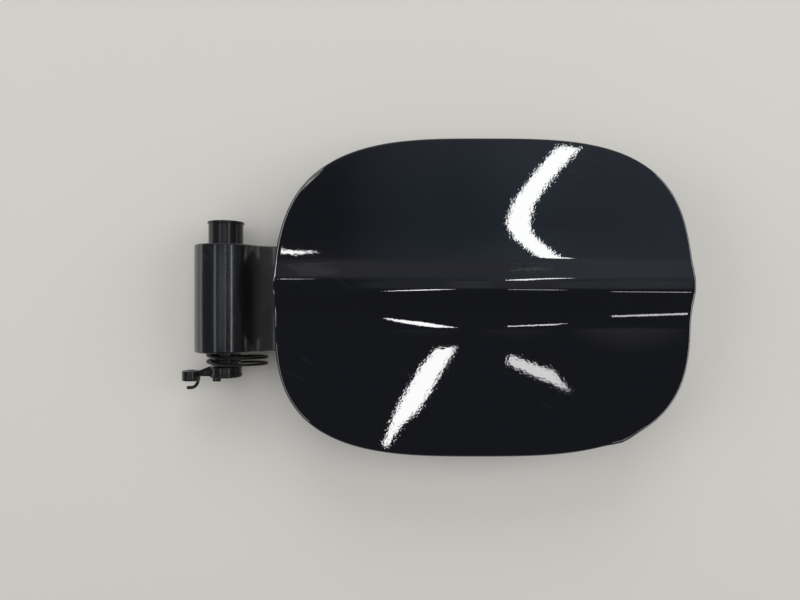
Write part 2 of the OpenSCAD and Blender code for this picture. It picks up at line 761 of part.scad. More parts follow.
module striker_studs() {
    color(steel)
    for (s = [-1, 1])
        translate([striker_x + s * striker_stud_span / 2, striker_y, panel_under - striker_stud_len])
        cylinder(r = striker_stud_r, h = striker_stud_len);
}
module striker_nuts() {
    color(steel)
    for (s = [-1, 1])
        translate([striker_x + s * striker_stud_span / 2, striker_y, panel_under - striker_foot_t])
        mirror([0, 0, 1]) flange_nut(striker_stud_r);
}

// Rubber stops stand on the flat field of the inner panel
stop_places = [[stop_near_x, stop_y], [stop_near_x, -stop_y], [stop_far_x, stop_y], [stop_far_x, -stop_y]];
stop_flange_t = 1.5;
stop_nose = 1.5;
stop_stem_r = stop_r * 0.7;
module bump_stop(place) {
    color(rubber)
    translate([place[0], place[1], panel_under]) mirror([0, 0, 1])
    rotate_extrude()
    polygon([[0, 0], [stop_r, 0], [stop_r, stop_flange_t], [stop_stem_r, stop_flange_t + 0.5],
             [stop_stem_r, stop_h - stop_nose], [stop_stem_r - stop_nose, stop_h], [0, stop_h]]);
}

// The cap holder takes the filler cap's rim between its two hooks
holder_y = -6;
holder_foot_d = 18;
holder_hook_d = 12;
hook_lip = 2;
holder_clip_x = holder_gap / 2 + holder_t + holder_head_r + 0.4;
holder_foot_w = 2 * (holder_clip_x + holder_head_r + 1.4);
module cap_holder() {
    lip_z = panel_under - holder_depth;
    color(black_plastic)
    translate([holder_x, holder_y, 0])
    difference() {
        union() {
            translate([-holder_foot_w / 2, -holder_foot_d / 2, panel_under - holder_t])
                cube([holder_foot_w, holder_foot_d, holder_t]);
            along_y(-holder_hook_d / 2, holder_hook_d)
            for (s = [0, 1]) mirror([s, 0, 0]) {
                translate([holder_gap / 2, lip_z]) square([holder_t, holder_depth - holder_t + eps]);
                translate([holder_gap / 2 - hook_lip, lip_z]) square([hook_lip + eps, holder_t]);
            }
        }
        for (s = [-1, 1])
            translate([s * holder_clip_x, 0, panel_under - 2 * holder_t])
            cylinder(r = holder_clip_r + stud_gap, h = 3 * holder_t);
    }
}
module cap_holder_clips() {
    color(white_nylon)
    for (s = [-1, 1])
        translate([holder_x + s * holder_clip_x, holder_y, panel_under]) mirror([0, 0, 1]) {
            cylinder(r = holder_clip_r, h = holder_t + eps);
            translate([0, 0, holder_t]) cylinder(r = holder_head_r, h = 1.2);
        }
}

outer_skin();
inner_panel();
mastic_pads();
hinge_arm();
arm_studs();
arm_nuts();
upper_bush();
lower_bush();
latch_striker();
striker_studs();
striker_nuts();
bump_stop(stop_places[0]);  // bump_stop_1
bump_stop(stop_places[1]);  // bump_stop_2
bump_stop(stop_places[2]);  // bump_stop_3
bump_stop(stop_places[3]);  // bump_stop_4
cap_holder();
cap_holder_clips();
pivot_barrel();
pivot_tube();
thrust_washer();
spacer_collar();
hook_lever();
retaining_clip();
torsion_spring();
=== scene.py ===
import json
import math

import bmesh
import bpy
import numpy as np
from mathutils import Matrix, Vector


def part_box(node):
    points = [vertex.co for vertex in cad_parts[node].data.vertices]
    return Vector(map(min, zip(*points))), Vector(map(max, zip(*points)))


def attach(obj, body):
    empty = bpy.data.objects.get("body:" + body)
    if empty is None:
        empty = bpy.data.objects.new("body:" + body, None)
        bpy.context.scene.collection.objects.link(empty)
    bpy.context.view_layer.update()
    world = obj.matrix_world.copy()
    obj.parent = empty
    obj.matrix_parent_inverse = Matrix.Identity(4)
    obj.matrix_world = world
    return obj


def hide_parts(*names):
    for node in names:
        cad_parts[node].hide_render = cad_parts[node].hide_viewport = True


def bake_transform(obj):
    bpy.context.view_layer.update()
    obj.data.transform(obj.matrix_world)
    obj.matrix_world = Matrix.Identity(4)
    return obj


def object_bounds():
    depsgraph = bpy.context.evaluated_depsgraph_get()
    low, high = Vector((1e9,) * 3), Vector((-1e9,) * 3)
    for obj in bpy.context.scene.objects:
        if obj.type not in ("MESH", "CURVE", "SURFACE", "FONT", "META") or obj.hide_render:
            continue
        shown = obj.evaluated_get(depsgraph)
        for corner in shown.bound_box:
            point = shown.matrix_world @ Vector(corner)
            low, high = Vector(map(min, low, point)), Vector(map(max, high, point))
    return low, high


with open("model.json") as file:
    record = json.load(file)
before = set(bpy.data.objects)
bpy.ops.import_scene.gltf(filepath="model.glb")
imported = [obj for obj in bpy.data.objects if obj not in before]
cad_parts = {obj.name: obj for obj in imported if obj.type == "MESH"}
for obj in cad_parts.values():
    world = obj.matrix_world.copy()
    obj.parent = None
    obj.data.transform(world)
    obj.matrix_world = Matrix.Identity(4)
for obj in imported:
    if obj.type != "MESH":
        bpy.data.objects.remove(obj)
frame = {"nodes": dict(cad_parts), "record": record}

# A gloss black car fuel door on its gooseneck hinge, lying face up and seen from straight above.
# The pivot's axis runs along Y through the origin, and the painted face looks up.

MM = 0.001
cad_low, cad_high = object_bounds()
FLOOR_Z = cad_low[2]

# The photograph's frame and the camera that looks straight down on the door
PHOTO_WIDTH = 800
PHOTO_HEIGHT = 600
FOCAL_PIXELS = 600.0
SENSOR_MM = 36.0
CAMERA_PLACE = Vector((84.8 * MM, -0.73 * MM, 292.5 * MM))

# Outline of the door: the skin's box, and one superellipse exponent for each corner
skin_low, skin_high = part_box("outer_skin")
DOOR_LEFT, DOOR_RIGHT = skin_low[0], skin_high[0]
DOOR_BOTTOM, DOOR_TOP = skin_low[1], skin_high[1]
OUTLINE_PEAK = 121 * MM
OUTLINE_WAIST = -6 * MM
SQUARENESS = {"upper_left": 3.1, "upper_right": 3.4, "lower_left": 3.15, "lower_right": 3.1}

# Section of the face, as the part has it
CREASE_HEIGHT = 24.5 * MM
CREASE_TOP = 8.7 * MM
CREASE_FOOT = 3.3 * MM
BEVEL_END = 17 * MM
HOLLOW_MID = 25 * MM
FLANK_END = -8.5 * MM
BEVEL_SLOPE = 0.31
HOLLOW_SLOPE = 0.16
FLANK_SLOPE = 0.42
CREASE_ROUND = 1.3 * MM
BEVEL_ROUND = 1.5 * MM
HOLLOW_ROUND = 9 * MM
FLANK_ROUND = 5.6 * MM
CROWN_ACROSS = 900 * MM
CROWN_ALONG = 3000 * MM

# The door's two sheets
SKIN_T = 0.8 * MM
PANEL_T = 0.7 * MM
EDGE_ROLL = 1.3 * MM
HEM_W = 9 * MM
HEM_GAP = 0.15 * MM
HEM_EDGE = 0.3 * MM
FOLD_EDGE = 0.5 * MM
FOLD_IN = 0.1 * MM
PANEL_Z = 12.5 * MM
PANEL_WALL_W = 9 * MM
PANEL_WALL_GAP = 1.5 * MM
PANEL_RIM_GAP = 0.8 * MM
RIB_H = 1.6 * MM
RIB_Y = -33 * MM
RIB_HALF_W = 7 * MM
RIB_HALF_LEN = 40 * MM
RIB_END = 25 * MM

# The corner that is bent out, at a share of the way down to the lower edge, and the dent beside it
BENT_OUT = 1.1 * MM
BENT_REACH = 9 * MM
BENT_SHARE = 0.887
DENT_DEPTH = 0.2 * MM
DENT_R = 5 * MM
DENT_RIGHT = 8.5 * MM
DENT_UP = 14 * MM

half_up = DOOR_TOP - OUTLINE_WAIST
half_down = OUTLINE_WAIST - DOOR_BOTTOM
half_left = OUTLINE_PEAK - DOOR_LEFT
half_right = DOOR_RIGHT - OUTLINE_PEAK


def quadrant_run(y, side):
    """How far the outline lies from the peak line at height y, to one side."""
    half = half_left if side == "left" else half_right
    up = y > OUTLINE_WAIST
    exponent = np.where(up, SQUARENESS["upper_" + side], SQUARENESS["lower_" + side])
    share = np.abs(y - OUTLINE_WAIST) / np.where(up, half_up, half_down)
    return half * (1 - np.minimum(1, share) ** exponent) ** (1 / exponent)


def quadrant_rise(x, vertical):
    """The outline's height at x, on the upper or the lower side."""
    half = half_up if vertical == "upper" else -half_down
    left = x < OUTLINE_PEAK
    exponent = np.where(left, SQUARENESS[vertical + "_left"], SQUARENESS[vertical + "_right"])
    share = np.abs(x - OUTLINE_PEAK) / np.where(left, half_left, half_right)
    return OUTLINE_WAIST + half * (1 - np.minimum(1, share) ** exponent) ** (1 / exponent)


BENT_Y = float(OUTLINE_WAIST - BENT_SHARE * half_down)
BENT_X = float(OUTLINE_PEAK + quadrant_run(np.array(BENT_Y), "right"))
DENT_X = BENT_X + DENT_RIGHT
DENT_Y = BENT_Y + DENT_UP


def soft_ramp(t, w):
    """Zero before the break, t after it, with a parabola between."""
    return np.where(t < -w, 0, np.where(t > w, t, (t + w) ** 2 / (4 * w)))


def bell(r, reach):
    """One in the middle, and zero from the reach on."""
    return np.where(r > reach, 0, (1 - np.minimum(1, r / reach) ** 2) ** 2)


def face_z(x, y):
    """Height of the painted face."""
    drop = BEVEL_SLOPE * soft_ramp(y - CREASE_TOP, CREASE_ROUND)
    drop -= (BEVEL_SLOPE - HOLLOW_SLOPE) * soft_ramp(y - BEVEL_END, BEVEL_ROUND)
    drop -= HOLLOW_SLOPE * soft_ramp(y - HOLLOW_MID, HOLLOW_ROUND)
    drop += FLANK_SLOPE * (soft_ramp(CREASE_FOOT - y, CREASE_ROUND) - soft_ramp(FLANK_END - y, FLANK_ROUND))
    crown = (y - (CREASE_TOP + CREASE_FOOT) / 2) ** 2 / (2 * CROWN_ACROSS)
    crown += (x - OUTLINE_PEAK) ** 2 / (2 * CROWN_ALONG)
    dent = DENT_DEPTH * bell(np.hypot(x - DENT_X, y - DENT_Y), DENT_R)
    return CREASE_HEIGHT - drop - crown - dent


def face_normal(x, y):
    """The painted face's direction at one place."""
    step = 0.05 * MM
    slope_x = (face_z(x + step, y) - face_z(x - step, y)) / (2 * step)
    slope_y = (face_z(x, y + step) - face_z(x, y - step)) / (2 * step)
    return Vector((-float(slope_x), -float(slope_y), 1)).normalized()


# Plain mesh helpers

def new_object(name, points, faces, smooth=True):
    """A mesh object at the origin."""
    mesh = bpy.data.meshes.new(name)
    mesh.from_pydata([tuple(p) for p in points], [], [tuple(f) for f in faces])
    mesh.validate()
    mesh.update()
    obj = bpy.data.objects.new(name, mesh)
    bpy.context.scene.collection.objects.link(obj)
    if smooth:
        for polygon in mesh.polygons:
            polygon.use_smooth = True
    return obj


def join_parts(name, parts):
    """Joins (points, faces) pairs into one mesh object."""
    points, faces = [], []
    for part_points, part_faces in parts:
        start = len(points)
        points.extend(part_points)
        faces.extend([tuple(start + i for i in face) for face in part_faces])
    return new_object(name, points, faces)


def band_faces(pairs, count):
    """The four-cornered faces between pairs of rings of equally many points."""
    return [(a * count + i, a * count + (i + 1) % count, b * count + (i + 1) % count, b * count + i)
            for a, b in pairs for i in range(count)]


def loft(rings):
    """Joins closed rings of equally many points, and closes the first and the last."""
    count, last = len(rings[0]), len(rings) - 1
    faces = band_faces([(k, k + 1) for k in range(last)], count)
    faces.append(tuple(reversed(range(count))))
    faces.append(tuple(range(last * count, (last + 1) * count)))
    return [tuple(p) for ring in rings for p in ring], faces


def lathe_y(profile, centre=(0.0, 0.0), segments=96):
    """Turns a closed profile of (radius, y) round an axis parallel to Y."""
    points = []
    for k in range(segments):
        a = 2 * math.pi * k / segments
        points += [(centre[0] + r * math.cos(a), y, centre[1] + r * math.sin(a)) for r, y in profile]
    return points, band_faces([(k, (k + 1) % segments) for k in range(segments)], len(profile))


def rounded_profile(corners, radius, steps):
    """Rounds the corners of a closed (radius, y) polygon. Each corner may carry its own radius."""
    result = []
    count = len(corners)
    for i, corner in enumerate(corners):
        here = Vector(corner[:2])
        before = Vector(corners[i - 1][:2]) - here
        after = Vector(corners[(i + 1) % count][:2]) - here
        r = corner[2] if len(corner) > 2 else radius
        r = min(r, before.length * 0.45, after.length * 0.45)
        a, b = here + before.normalized() * r, here + after.normalized() * r
        for k in range(steps + 1):
            t = k / steps
            result.append(tuple(a * (1 - t) ** 2 + here * 2 * t * (1 - t) + b * t ** 2))
    return result


def fix_normals(obj):
    """Merges doubles and turns the faces of a closed mesh outwards."""
    work = bmesh.new()
    work.from_mesh(obj.data)
    bmesh.ops.remove_doubles(work, verts=work.verts, dist=1e-7)
    bmesh.ops.recalc_face_normals(work, faces=work.faces)
    work.to_mesh(obj.data)
    work.free()
    return obj


def sharpen(obj, degrees=35):
    """Keeps edges sharper than the angle crisp in a smooth mesh."""
    obj.data.set_sharp_from_angle(angle=math.radians(degrees))
    return obj


# The pressed sheets of the door, row by row

def door_rows():
    """Heights of the rows: close together over the crease, even along the corners."""
    corner_rows, last_angle = 56, 86
    crease_rows, round_share, gap = 150, 1.2, 0.5 * MM
    angles = np.radians(np.linspace(-last_angle, last_angle, 2 * corner_rows))
    heights = OUTLINE_WAIST + np.where(angles > 0, half_up, half_down) * np.sin(angles)
    low, high = FLANK_END - round_share * FLANK_ROUND, HOLLOW_MID + round_share * HOLLOW_ROUND
    fine = np.linspace(low, high, crease_rows)
    return np.concatenate([heights[heights < low - gap], fine, heights[heights > high + gap]])


ROWS = door_rows()


def outline_loop(cols):
    """Points of the outline: bottom row, right ends, top row, left ends."""
    share = np.linspace(0, 1, cols + 1)

    def row_x(y):
        """Evenly spread places along one row, from edge to edge."""
        left = OUTLINE_PEAK - quadrant_run(np.array(y), "left")
        right = OUTLINE_PEAK + quadrant_run(np.array(y), "right")
        return left + share * (right - left)

    bottom_x, top_x = row_x(ROWS[0]), row_x(ROWS[-1])
    inner = ROWS[1:-1]
    loop_x = np.concatenate([bottom_x, OUTLINE_PEAK + quadrant_run(inner, "right"),
                             top_x[::-1], (OUTLINE_PEAK - quadrant_run(inner, "left"))[::-1]])
    loop_y = np.concatenate([quadrant_rise(bottom_x, "lower"), inner,
                             quadrant_rise(top_x[::-1], "upper"), inner[::-1]])
    loop = np.stack([loop_x, loop_y], axis=1)
    along = np.roll(loop, -1, axis=0) - np.roll(loop, 1, axis=0)
    along /= np.linalg.norm(along, axis=1)[:, None]
    normals = np.stack([along[:, 1], -along[:, 0]], axis=1)
    away = np.hypot(loop[:, 0] - BENT_X, loop[:, 1] - BENT_Y)
    loop = loop + normals * (BENT_OUT * np.maximum(0, 1 - away / BENT_REACH))[:, None]
    return loop, normals


def sheet_height(p, drop, flat, field):
    """Heights that follow the face, a drop below it, and go over to a flat field."""
    return (1 - flat) * (face_z(p[:, 0], p[:, 1]) - drop) + flat * field


def pressed_sheet(name, cols, steps, relief=None):
    """A closed sheet. Each step is (inset, drop below the face, share of flat, flat height)."""
    loop, normals = outline_loop(cols)
    count, last_row = len(loop), len(ROWS) - 1
    rings = []
    for inset, drop, flat, field in steps:
        p = loop - normals * inset
        rings.append(np.column_stack([p, sheet_height(p, drop, flat, field)]))
    right = cols + np.arange(1, last_row)
    left = count - np.arange(1, last_row)
    share = np.linspace(0, 1, cols + 1)[1:-1]
    fields = []
    for inset, drop, flat, field in (steps[0], steps[-1]):
        a = loop[left] - normals[left] * inset
        b = loop[right] - normals[right] * inset
        p = (a[:, None, :] + (b - a)[:, None, :] * share[None, :, None]).reshape(-1, 2)
        z = sheet_height(p, drop, flat, field)
        if relief is not None:
            z = z + relief(p[:, 0], p[:, 1])
        fields.append(np.column_stack([p, z]))
    points = np.concatenate(rings + fields)

    def grid_index(ring0, field0):
        """Point numbers of one side of the sheet as a grid, with a ring as its border."""
        grid = np.empty((last_row + 1, cols + 1), dtype=int)
        grid[0] = ring0 + np.arange(cols + 1)
        grid[last_row] = ring0 + cols + last_row + cols - np.arange(cols + 1)
        grid[1:-1, cols] = ring0 + right
        grid[1:-1, 0] = ring0 + left
        grid[1:-1, 1:-1] = field0 + np.arange((last_row - 1) * (cols - 1)).reshape(last_row - 1, cols - 1)
        return grid

    faces = []
    last_ring, rings_end = count * (len(steps) - 1), count * len(steps)
    upper = (0, rings_end, True)
    lower = (last_ring, rings_end + len(fields[0]), False)
    for ring0, field0, up in (upper, lower):
        g = grid_index(ring0, field0)
        corners = [g[:-1, :-1].ravel(), g[:-1, 1:].ravel(), g[1:, 1:].ravel(), g[1:, :-1].ravel()]
        faces.extend(zip(*(corners if up else corners[::-1])))
    for k in range(len(steps) - 1):
        for i in range(count):
            j = (i + 1) % count
            faces.append((k * count + i, (k + 1) * count + i, (k + 1) * count + j, k * count + j))
    return new_object(name, points.tolist(), [tuple(int(v) for v in f) for f in faces])


def make_skin():
    """The outer sheet: its face, its rolled edge and the hem that holds the inner panel."""
    hem_floor = SKIN_T + PANEL_T + 2 * HEM_GAP
    hem_under = hem_floor + SKIN_T
    roll = [math.radians(a) for a in np.linspace(0, 90, 9)]
    steps = [(EDGE_ROLL * (1 - math.sin(a)), EDGE_ROLL * (1 - math.cos(a)), 0, 0) for a in roll]
    steps += [(FOLD_IN, hem_under - FOLD_EDGE, 0, 0), (FOLD_EDGE, hem_under, 0, 0),
              (HEM_W - HEM_EDGE, hem_under, 0, 0), (HEM_W, hem_under - HEM_EDGE, 0, 0),
              (HEM_W, hem_floor, 0, 0), (EDGE_ROLL, hem_floor, 0, 0), (EDGE_ROLL, SKIN_T, 0, 0)]
    skin = pressed_sheet("door_skin", 150, steps)
    sharpen(skin, 50)
    return skin


def rib_relief(x, y):
    """Height of the rib that is pressed into the inner panel."""
    beyond = np.maximum(0, np.abs(x - OUTLINE_PEAK) - RIB_HALF_LEN)
    return RIB_H * bell(np.abs(y - RIB_Y), RIB_HALF_W) * bell(beyond, RIB_END)


def make_inner_panel():
    """The inner sheet: its rim in the hem, a sloping wall and a flat field with a rib."""
    wall_in = HEM_W + PANEL_WALL_GAP
    field_in = wall_in + PANEL_WALL_W
    rim, rim_drop = EDGE_ROLL + PANEL_RIM_GAP, SKIN_T + HEM_GAP
    under = PANEL_Z - PANEL_T
    wall = []
    for t in np.linspace(0, 1, 9)[1:-1]:
        wall.append((wall_in + PANEL_WALL_W * t, t * t * (3 - 2 * t)))
    top = [(field_in, 0, 1, PANEL_Z)]
    top += [(inset, rim_drop, flat, PANEL_Z) for inset, flat in reversed(wall)]
    top += [(wall_in, rim_drop, 0, 0), (rim, rim_drop, 0, 0)]
    low = [(rim, rim_drop + PANEL_T, 0, 0), (wall_in, rim_drop + PANEL_T, 0, 0)]
    low += [(inset, rim_drop + PANEL_T, flat, under) for inset, flat in wall]
    low += [(field_in, 0, 1, under)]
    return pressed_sheet("door_inner_panel", 90, top + low, rib_relief)


# The gooseneck arm

arm_low, arm_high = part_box("hinge_arm")
ARM_WIDTH = arm_high[1] - arm_low[1]
ARM_T = 2.5 * MM
CURL_R = -arm_low[0]
CURL_END = 275
WEB_DROP = 3 * MM
VALLEY_R = 12 * MM
VALLEY_Z = VALLEY_R - WEB_DROP
CURL_START = math.degrees(math.asin(VALLEY_Z / (CURL_R + VALLEY_R)))
WEB_END = 38 * MM
RISE_R = 10 * MM
RISE_ANGLE = 50
PLATE_END = arm_high[0]
PLATE_END_W = 42 * MM
PLATE_CORNER = 7 * MM
EAR_T = 2.5 * MM
ARM_EDGE = 0.9 * MM
ARM_END_THIN = (0.55, 0.85, 0.97)
TAPER_START = 6 * MM
BUSH_WALL_AND_FLANGE = 1.55 * MM


def arm_line():
    """Middle line of the arm's sheet in X and Z, as (point, upward normal) pairs."""
    half = ARM_T / 2
    web = -WEB_DROP - half
    plate = PANEL_Z - PANEL_T - half

    def bend(centre, r, start, end, out, steps=24):
        """An arc of the line, whose upward normals point away from the centre or towards it."""
        line = []
        for k in range(steps + 1):
            a = math.radians(start + (end - start) * k / steps)
            ray = Vector((math.cos(a), math.sin(a)))
            line.append((Vector(centre) + r * ray, out * ray))
        return line

    line = bend((0, 0), CURL_R - half, CURL_END, CURL_START, 1, steps=120)
    valley_x = (CURL_R + VALLEY_R) * math.cos(math.radians(CURL_START))
    line += bend((valley_x, VALLEY_Z), VALLEY_R + half, 180 + CURL_START, 270, -1)
    line += bend((WEB_END, web + RISE_R), RISE_R, 270, 270 + RISE_ANGLE, -1)
    rise = math.radians(RISE_ANGLE)
    foot_x = WEB_END + RISE_R * math.sin(rise)
    foot_z = web + RISE_R * (1 - math.cos(rise))
    head_z = plate - RISE_R * (1 - math.cos(rise))
    head_x = foot_x + (head_z - foot_z) / math.tan(rise)
    last_x = head_x + RISE_R * math.sin(rise)
    line += bend((last_x, plate - RISE_R), RISE_R, 90 + RISE_ANGLE, 90, 1)
    for x in np.linspace(last_x + 2 * MM, PLATE_END - 0.01 * MM, 40):
        line.append((Vector((x, plate)), Vector((0, 1))))
    return line, last_x


def arm_half_width(x, taper_x):
    """Half the arm's width: full to the plate, tapered along it, round at its corners."""
    full, end = ARM_WIDTH / 2, PLATE_END_W / 2
    if x < taper_x:
        return full
    width = full + (end - full) * (x - taper_x) / (PLATE_END - PLATE_CORNER - taper_x)
    width = max(width, end)
    into = x - (PLATE_END - PLATE_CORNER)
    if into > 0:
        width = end - PLATE_CORNER + math.sqrt(max(0, PLATE_CORNER ** 2 - into ** 2))
    return width


def make_arm():
    """The arm's sheet, with softened edges, and the two ears that close its curl."""
    line, last_x = arm_line()
    half, edge = ARM_T / 2, ARM_EDGE
    rings = []
    for index, (p, normal) in enumerate(line):
        width = arm_half_width(p.x, last_x + TAPER_START)
        ends = min(index, len(line) - 1 - index)
        thin = ARM_END_THIN[ends] if ends < len(ARM_END_THIN) else 1
        ring = []
        for sy, sn, start in ((1, 1, 0), (-1, 1, 90), (-1, -1, 180), (1, -1, 270)):
            for k in range(5):
                a = math.radians(start + 90 * k / 4)
                y = sy * (width - edge) + edge * math.cos(a)
                n = (sn * (half - edge) + edge * math.sin(a)) * thin
                q = p + normal * n
                ring.append((q.x, y, q.y))
        rings.append(ring)
    parts = [loft(rings)]
    curl_in = CURL_R - half
    for side, bush in ((1, "upper_bush"), (-1, "lower_bush")):
        low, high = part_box(bush)
        hole = (high[0] - low[0]) / 2 - BUSH_WALL_AND_FLANGE
        outer, inner = ARM_WIDTH / 2, ARM_WIDTH / 2 - EAR_T
        corners = [(hole, side * inner), (curl_in, side * inner),
                   (curl_in, side * outer), (hole, side * outer)]
        parts.append(lathe_y(rounded_profile(corners, 0.35 * MM, 3)))
    return fix_normals(join_parts("hinge_arm_sheet", parts))


# The turned pieces on the pivot

TUBE_BORE = 4.45 * MM
LIP_W = 0.55 * MM
LIP_H = 1.2 * MM
NECK_R = 5.7 * MM
NECK_LEN = 1.2 * MM
COLLAR_CHAMFER = 0.8 * MM


def make_barrel():
    """The plastic barrel, a plain sleeve with a lip at its upper end."""
    low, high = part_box("pivot_barrel")
    lip = (high[0] - low[0]) / 2
    body = lip - LIP_W
    profile = rounded_profile([(TUBE_BORE, low[1]), (body, low[1]), (body, high[1] - LIP_H, 0.25 * MM),
                               (lip, high[1] - LIP_H, 0.2 * MM), (lip, high[1], 0.5 * MM),
                               (TUBE_BORE, high[1], 0.3 * MM)], 0.3 * MM, 4)
    return fix_normals(join_parts("pivot_barrel_sleeve", [lathe_y(profile)]))


def make_collar():
    """The spacer below the arm, with a narrower neck at its lower end."""
    low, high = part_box("spacer_collar")
    r = (high[0] - low[0]) / 2
    shoulder = low[1] + NECK_LEN
    profile = rounded_profile([(TUBE_BORE, low[1]), (NECK_R, low[1]), (NECK_R, shoulder, 0.15 * MM),
                               (r - COLLAR_CHAMFER, shoulder, 0.3 * MM),
                               (r, shoulder + COLLAR_CHAMFER, 0.4 * MM), (r, high[1], 0.3 * MM),
                               (TUBE_BORE, high[1])], 0.2 * MM, 4)
    return fix_normals(join_parts("pivot_collar", [lathe_y(profile)]))


def points_and_faces(work):
    """What a bmesh holds, as plain lists. The bmesh is freed."""
    points = [tuple(v.co) for v in work.verts]
    faces = [tuple(v.index for v in f.verts) for f in work.faces]
    work.free()
    return points, faces


def box_part(low, high, edge):
    """A block with rounded edges."""
    work = bmesh.new()
    bmesh.ops.create_cube(work, size=1)
    centre = (Vector(low) + Vector(high)) / 2
    size = Vector(high) - Vector(low)
    for vert in work.verts:
        vert.co = Vector([centre[i] + vert.co[i] * size[i] for i in range(3)])
    bmesh.ops.bevel(work, geom=list(work.edges), offset=edge, segments=2, profile=0.5, affect="EDGES")
    return points_and_faces(work)


def sweep(line, radius, sides=20, up=(0, 0, 1)):
    """A round bar along a line of points, with flat ends. Radius may be a list, one for each point."""
    line = [Vector(p) for p in line]
    radii = radius if isinstance(radius, list) else [radius] * len(line)
    rings = []
    side = None
    for i, p in enumerate(line):
        along = (line[min(i + 1, len(line) - 1)] - line[max(i - 1, 0)]).normalized()
        if side is None:
            side = along.cross(Vector(up)).normalized()
        side = (side - along * side.dot(along)).normalized()
        other = along.cross(side)
        rings.append([tuple(p + radii[i] * (math.cos(a) * side + math.sin(a) * other))
                      for a in (2 * math.pi * k / sides for k in range(sides))])
    return loft(rings)


LEVER_PLATES_Z = (-2.5 * MM, -0.35 * MM, 1.6 * MM)
LEVER_PLATES_T = (0.9 * MM, 0.7 * MM, 0.9 * MM)
CLIP_RECESS_R = 5.45 * MM
CLIP_RECESS_H = 1.45 * MM
HUB_LEN = 5.3 * MM
EYE_X, EYE_R, EYE_HOLE = 17 * MM, 4.3 * MM, 1.9 * MM
EYE_HALF = 2.45 * MM
EYE_DROP = 2 * MM
HOOK_R, HOOK_T = 4.3 * MM, 1.6 * MM
HOOK_STEPS = 24
HOOK_TIP = 2 * MM
LEVER_EDGE = 0.15 * MM
LEVER_RIB_SHARES = (0.06, 0.5, 0.94)
LEVER_RIB_HALF = 0.35 * MM
# The tab below the hub: X, Y from the hub's foot, and Z
TAB_LOW = (-4.4 * MM, -1.4 * MM, 5.95 * MM)
TAB_HIGH = (-0.6 * MM, 0.6 * MM, 7.1 * MM)


def extrude_side(outline, z_low, z_high, edge):
    """A plate whose outline lies in X and Y, with its rims chamfered."""
    centre = sum((Vector(p) for p in outline), Vector((0, 0))) / len(outline)
    rings = []
    for z, inset in ((z_low, edge), (z_low + edge, 0), (z_high - edge, 0), (z_high, edge)):
        ring = []
        for p in outline:
            q = Vector(p)
            ring.append((*(q + (centre - q).normalized() * inset), z))
        rings.append(ring)
    return loft(rings)


def make_lever():
    """Hub, ribbed arm, eye and cable hook in one moulding."""
    hub_r, hub_top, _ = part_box("hook_lever")[1]
    hub_foot = hub_top - HUB_LEN
    recess_top = hub_foot + CLIP_RECESS_H
    parts = []
    hub = [(TUBE_BORE, recess_top), (CLIP_RECESS_R, recess_top),
           (CLIP_RECESS_R, hub_foot), (hub_r - 0.35 * MM, hub_foot, 0.4 * MM),
           (hub_r, hub_foot + 0.5 * MM, 0.3 * MM), (hub_r, hub_foot + 1.6 * MM, 0.3 * MM),
           (hub_r - 0.3 * MM, hub_foot + 1.9 * MM, 0.2 * MM),
           (hub_r - 0.15 * MM, hub_top - 0.4 * MM, 0.2 * MM), (hub_r - 0.5 * MM, hub_top, 0.2 * MM),
           (TUBE_BORE, hub_top)]
    parts.append(lathe_y(rounded_profile(hub, 0.15 * MM, 4)))
    eye_mid = hub_foot + HUB_LEN / 2 - EYE_DROP
    eye = [(EYE_HOLE, eye_mid - EYE_HALF), (EYE_R, eye_mid - EYE_HALF), (EYE_R, eye_mid + EYE_HALF),
           (EYE_HOLE, eye_mid + EYE_HALF)]
    parts.append(lathe_y(rounded_profile(eye, 0.5 * MM, 4), centre=(-EYE_X, 0.0), segments=64))
    near_x, far_x = -TUBE_BORE - 1.4 * MM, -EYE_X + EYE_R - 0.35 * MM
    plate_foot, eye_top = hub_foot + 0.55 * MM, eye_mid + EYE_HALF - 0.05 * MM
    step_x = -hub_r * 0.97
    side = [(far_x, plate_foot), (near_x, plate_foot), (near_x, hub_top - 0.1 * MM),
            (step_x, hub_top - 0.1 * MM), (step_x - 1.2 * MM, hub_top - 0.5 * MM),
            (far_x + 0.8 * MM, eye_top + 0.3 * MM), (far_x, eye_top)]
    for z, t in zip(LEVER_PLATES_Z, LEVER_PLATES_T):
        parts.append(extrude_side(side, z, z + t, LEVER_EDGE))
    depth = -LEVER_PLATES_Z[0] - 0.1 * MM
    for share in LEVER_RIB_SHARES:
        x = far_x + (step_x - far_x) * share
        top = eye_top + (hub_top - 0.5 * MM - eye_top) * share - 0.3 * MM
        parts.append(box_part((x - LEVER_RIB_HALF, plate_foot + 0.1 * MM, -depth),
                              (x + LEVER_RIB_HALF, top, depth), LEVER_EDGE))
    mid_r = HOOK_R - HOOK_T / 2
    hook_x = -EYE_X + EYE_R - HOOK_R - 0.25 * MM
    hook_y = eye_mid - EYE_HALF
    line, radii = [], []
    for k in range(-3, HOOK_STEPS + 1):
        if k < 0:
            line.append((hook_x + mid_r, hook_y - k * 0.3 * MM, 0))
        else:
            a = math.radians(-90 * k / HOOK_STEPS)
            line.append((hook_x + mid_r * math.cos(a), hook_y + mid_r * math.sin(a), 0))
        radii.append(HOOK_T / 2)
    tip = Vector(line[-1])
    for k in range(1, 9):
        t = k / 8
        line.append(tuple(tip + Vector((-HOOK_TIP * t, 0, 0))))
        radii.append(HOOK_T / 2 * math.sqrt(max(0.03, 1 - max(0, (t - 0.6) / 0.4) ** 2)))
    parts.append(sweep(line, radii))
    tab_low, tab_high = ((x, hub_foot + y, z) for x, y, z in (TAB_LOW, TAB_HIGH))
    parts.append(box_part(tab_low, tab_high, 0.2 * MM))
    return fix_normals(join_parts("release_lever", parts))


# The torsion spring

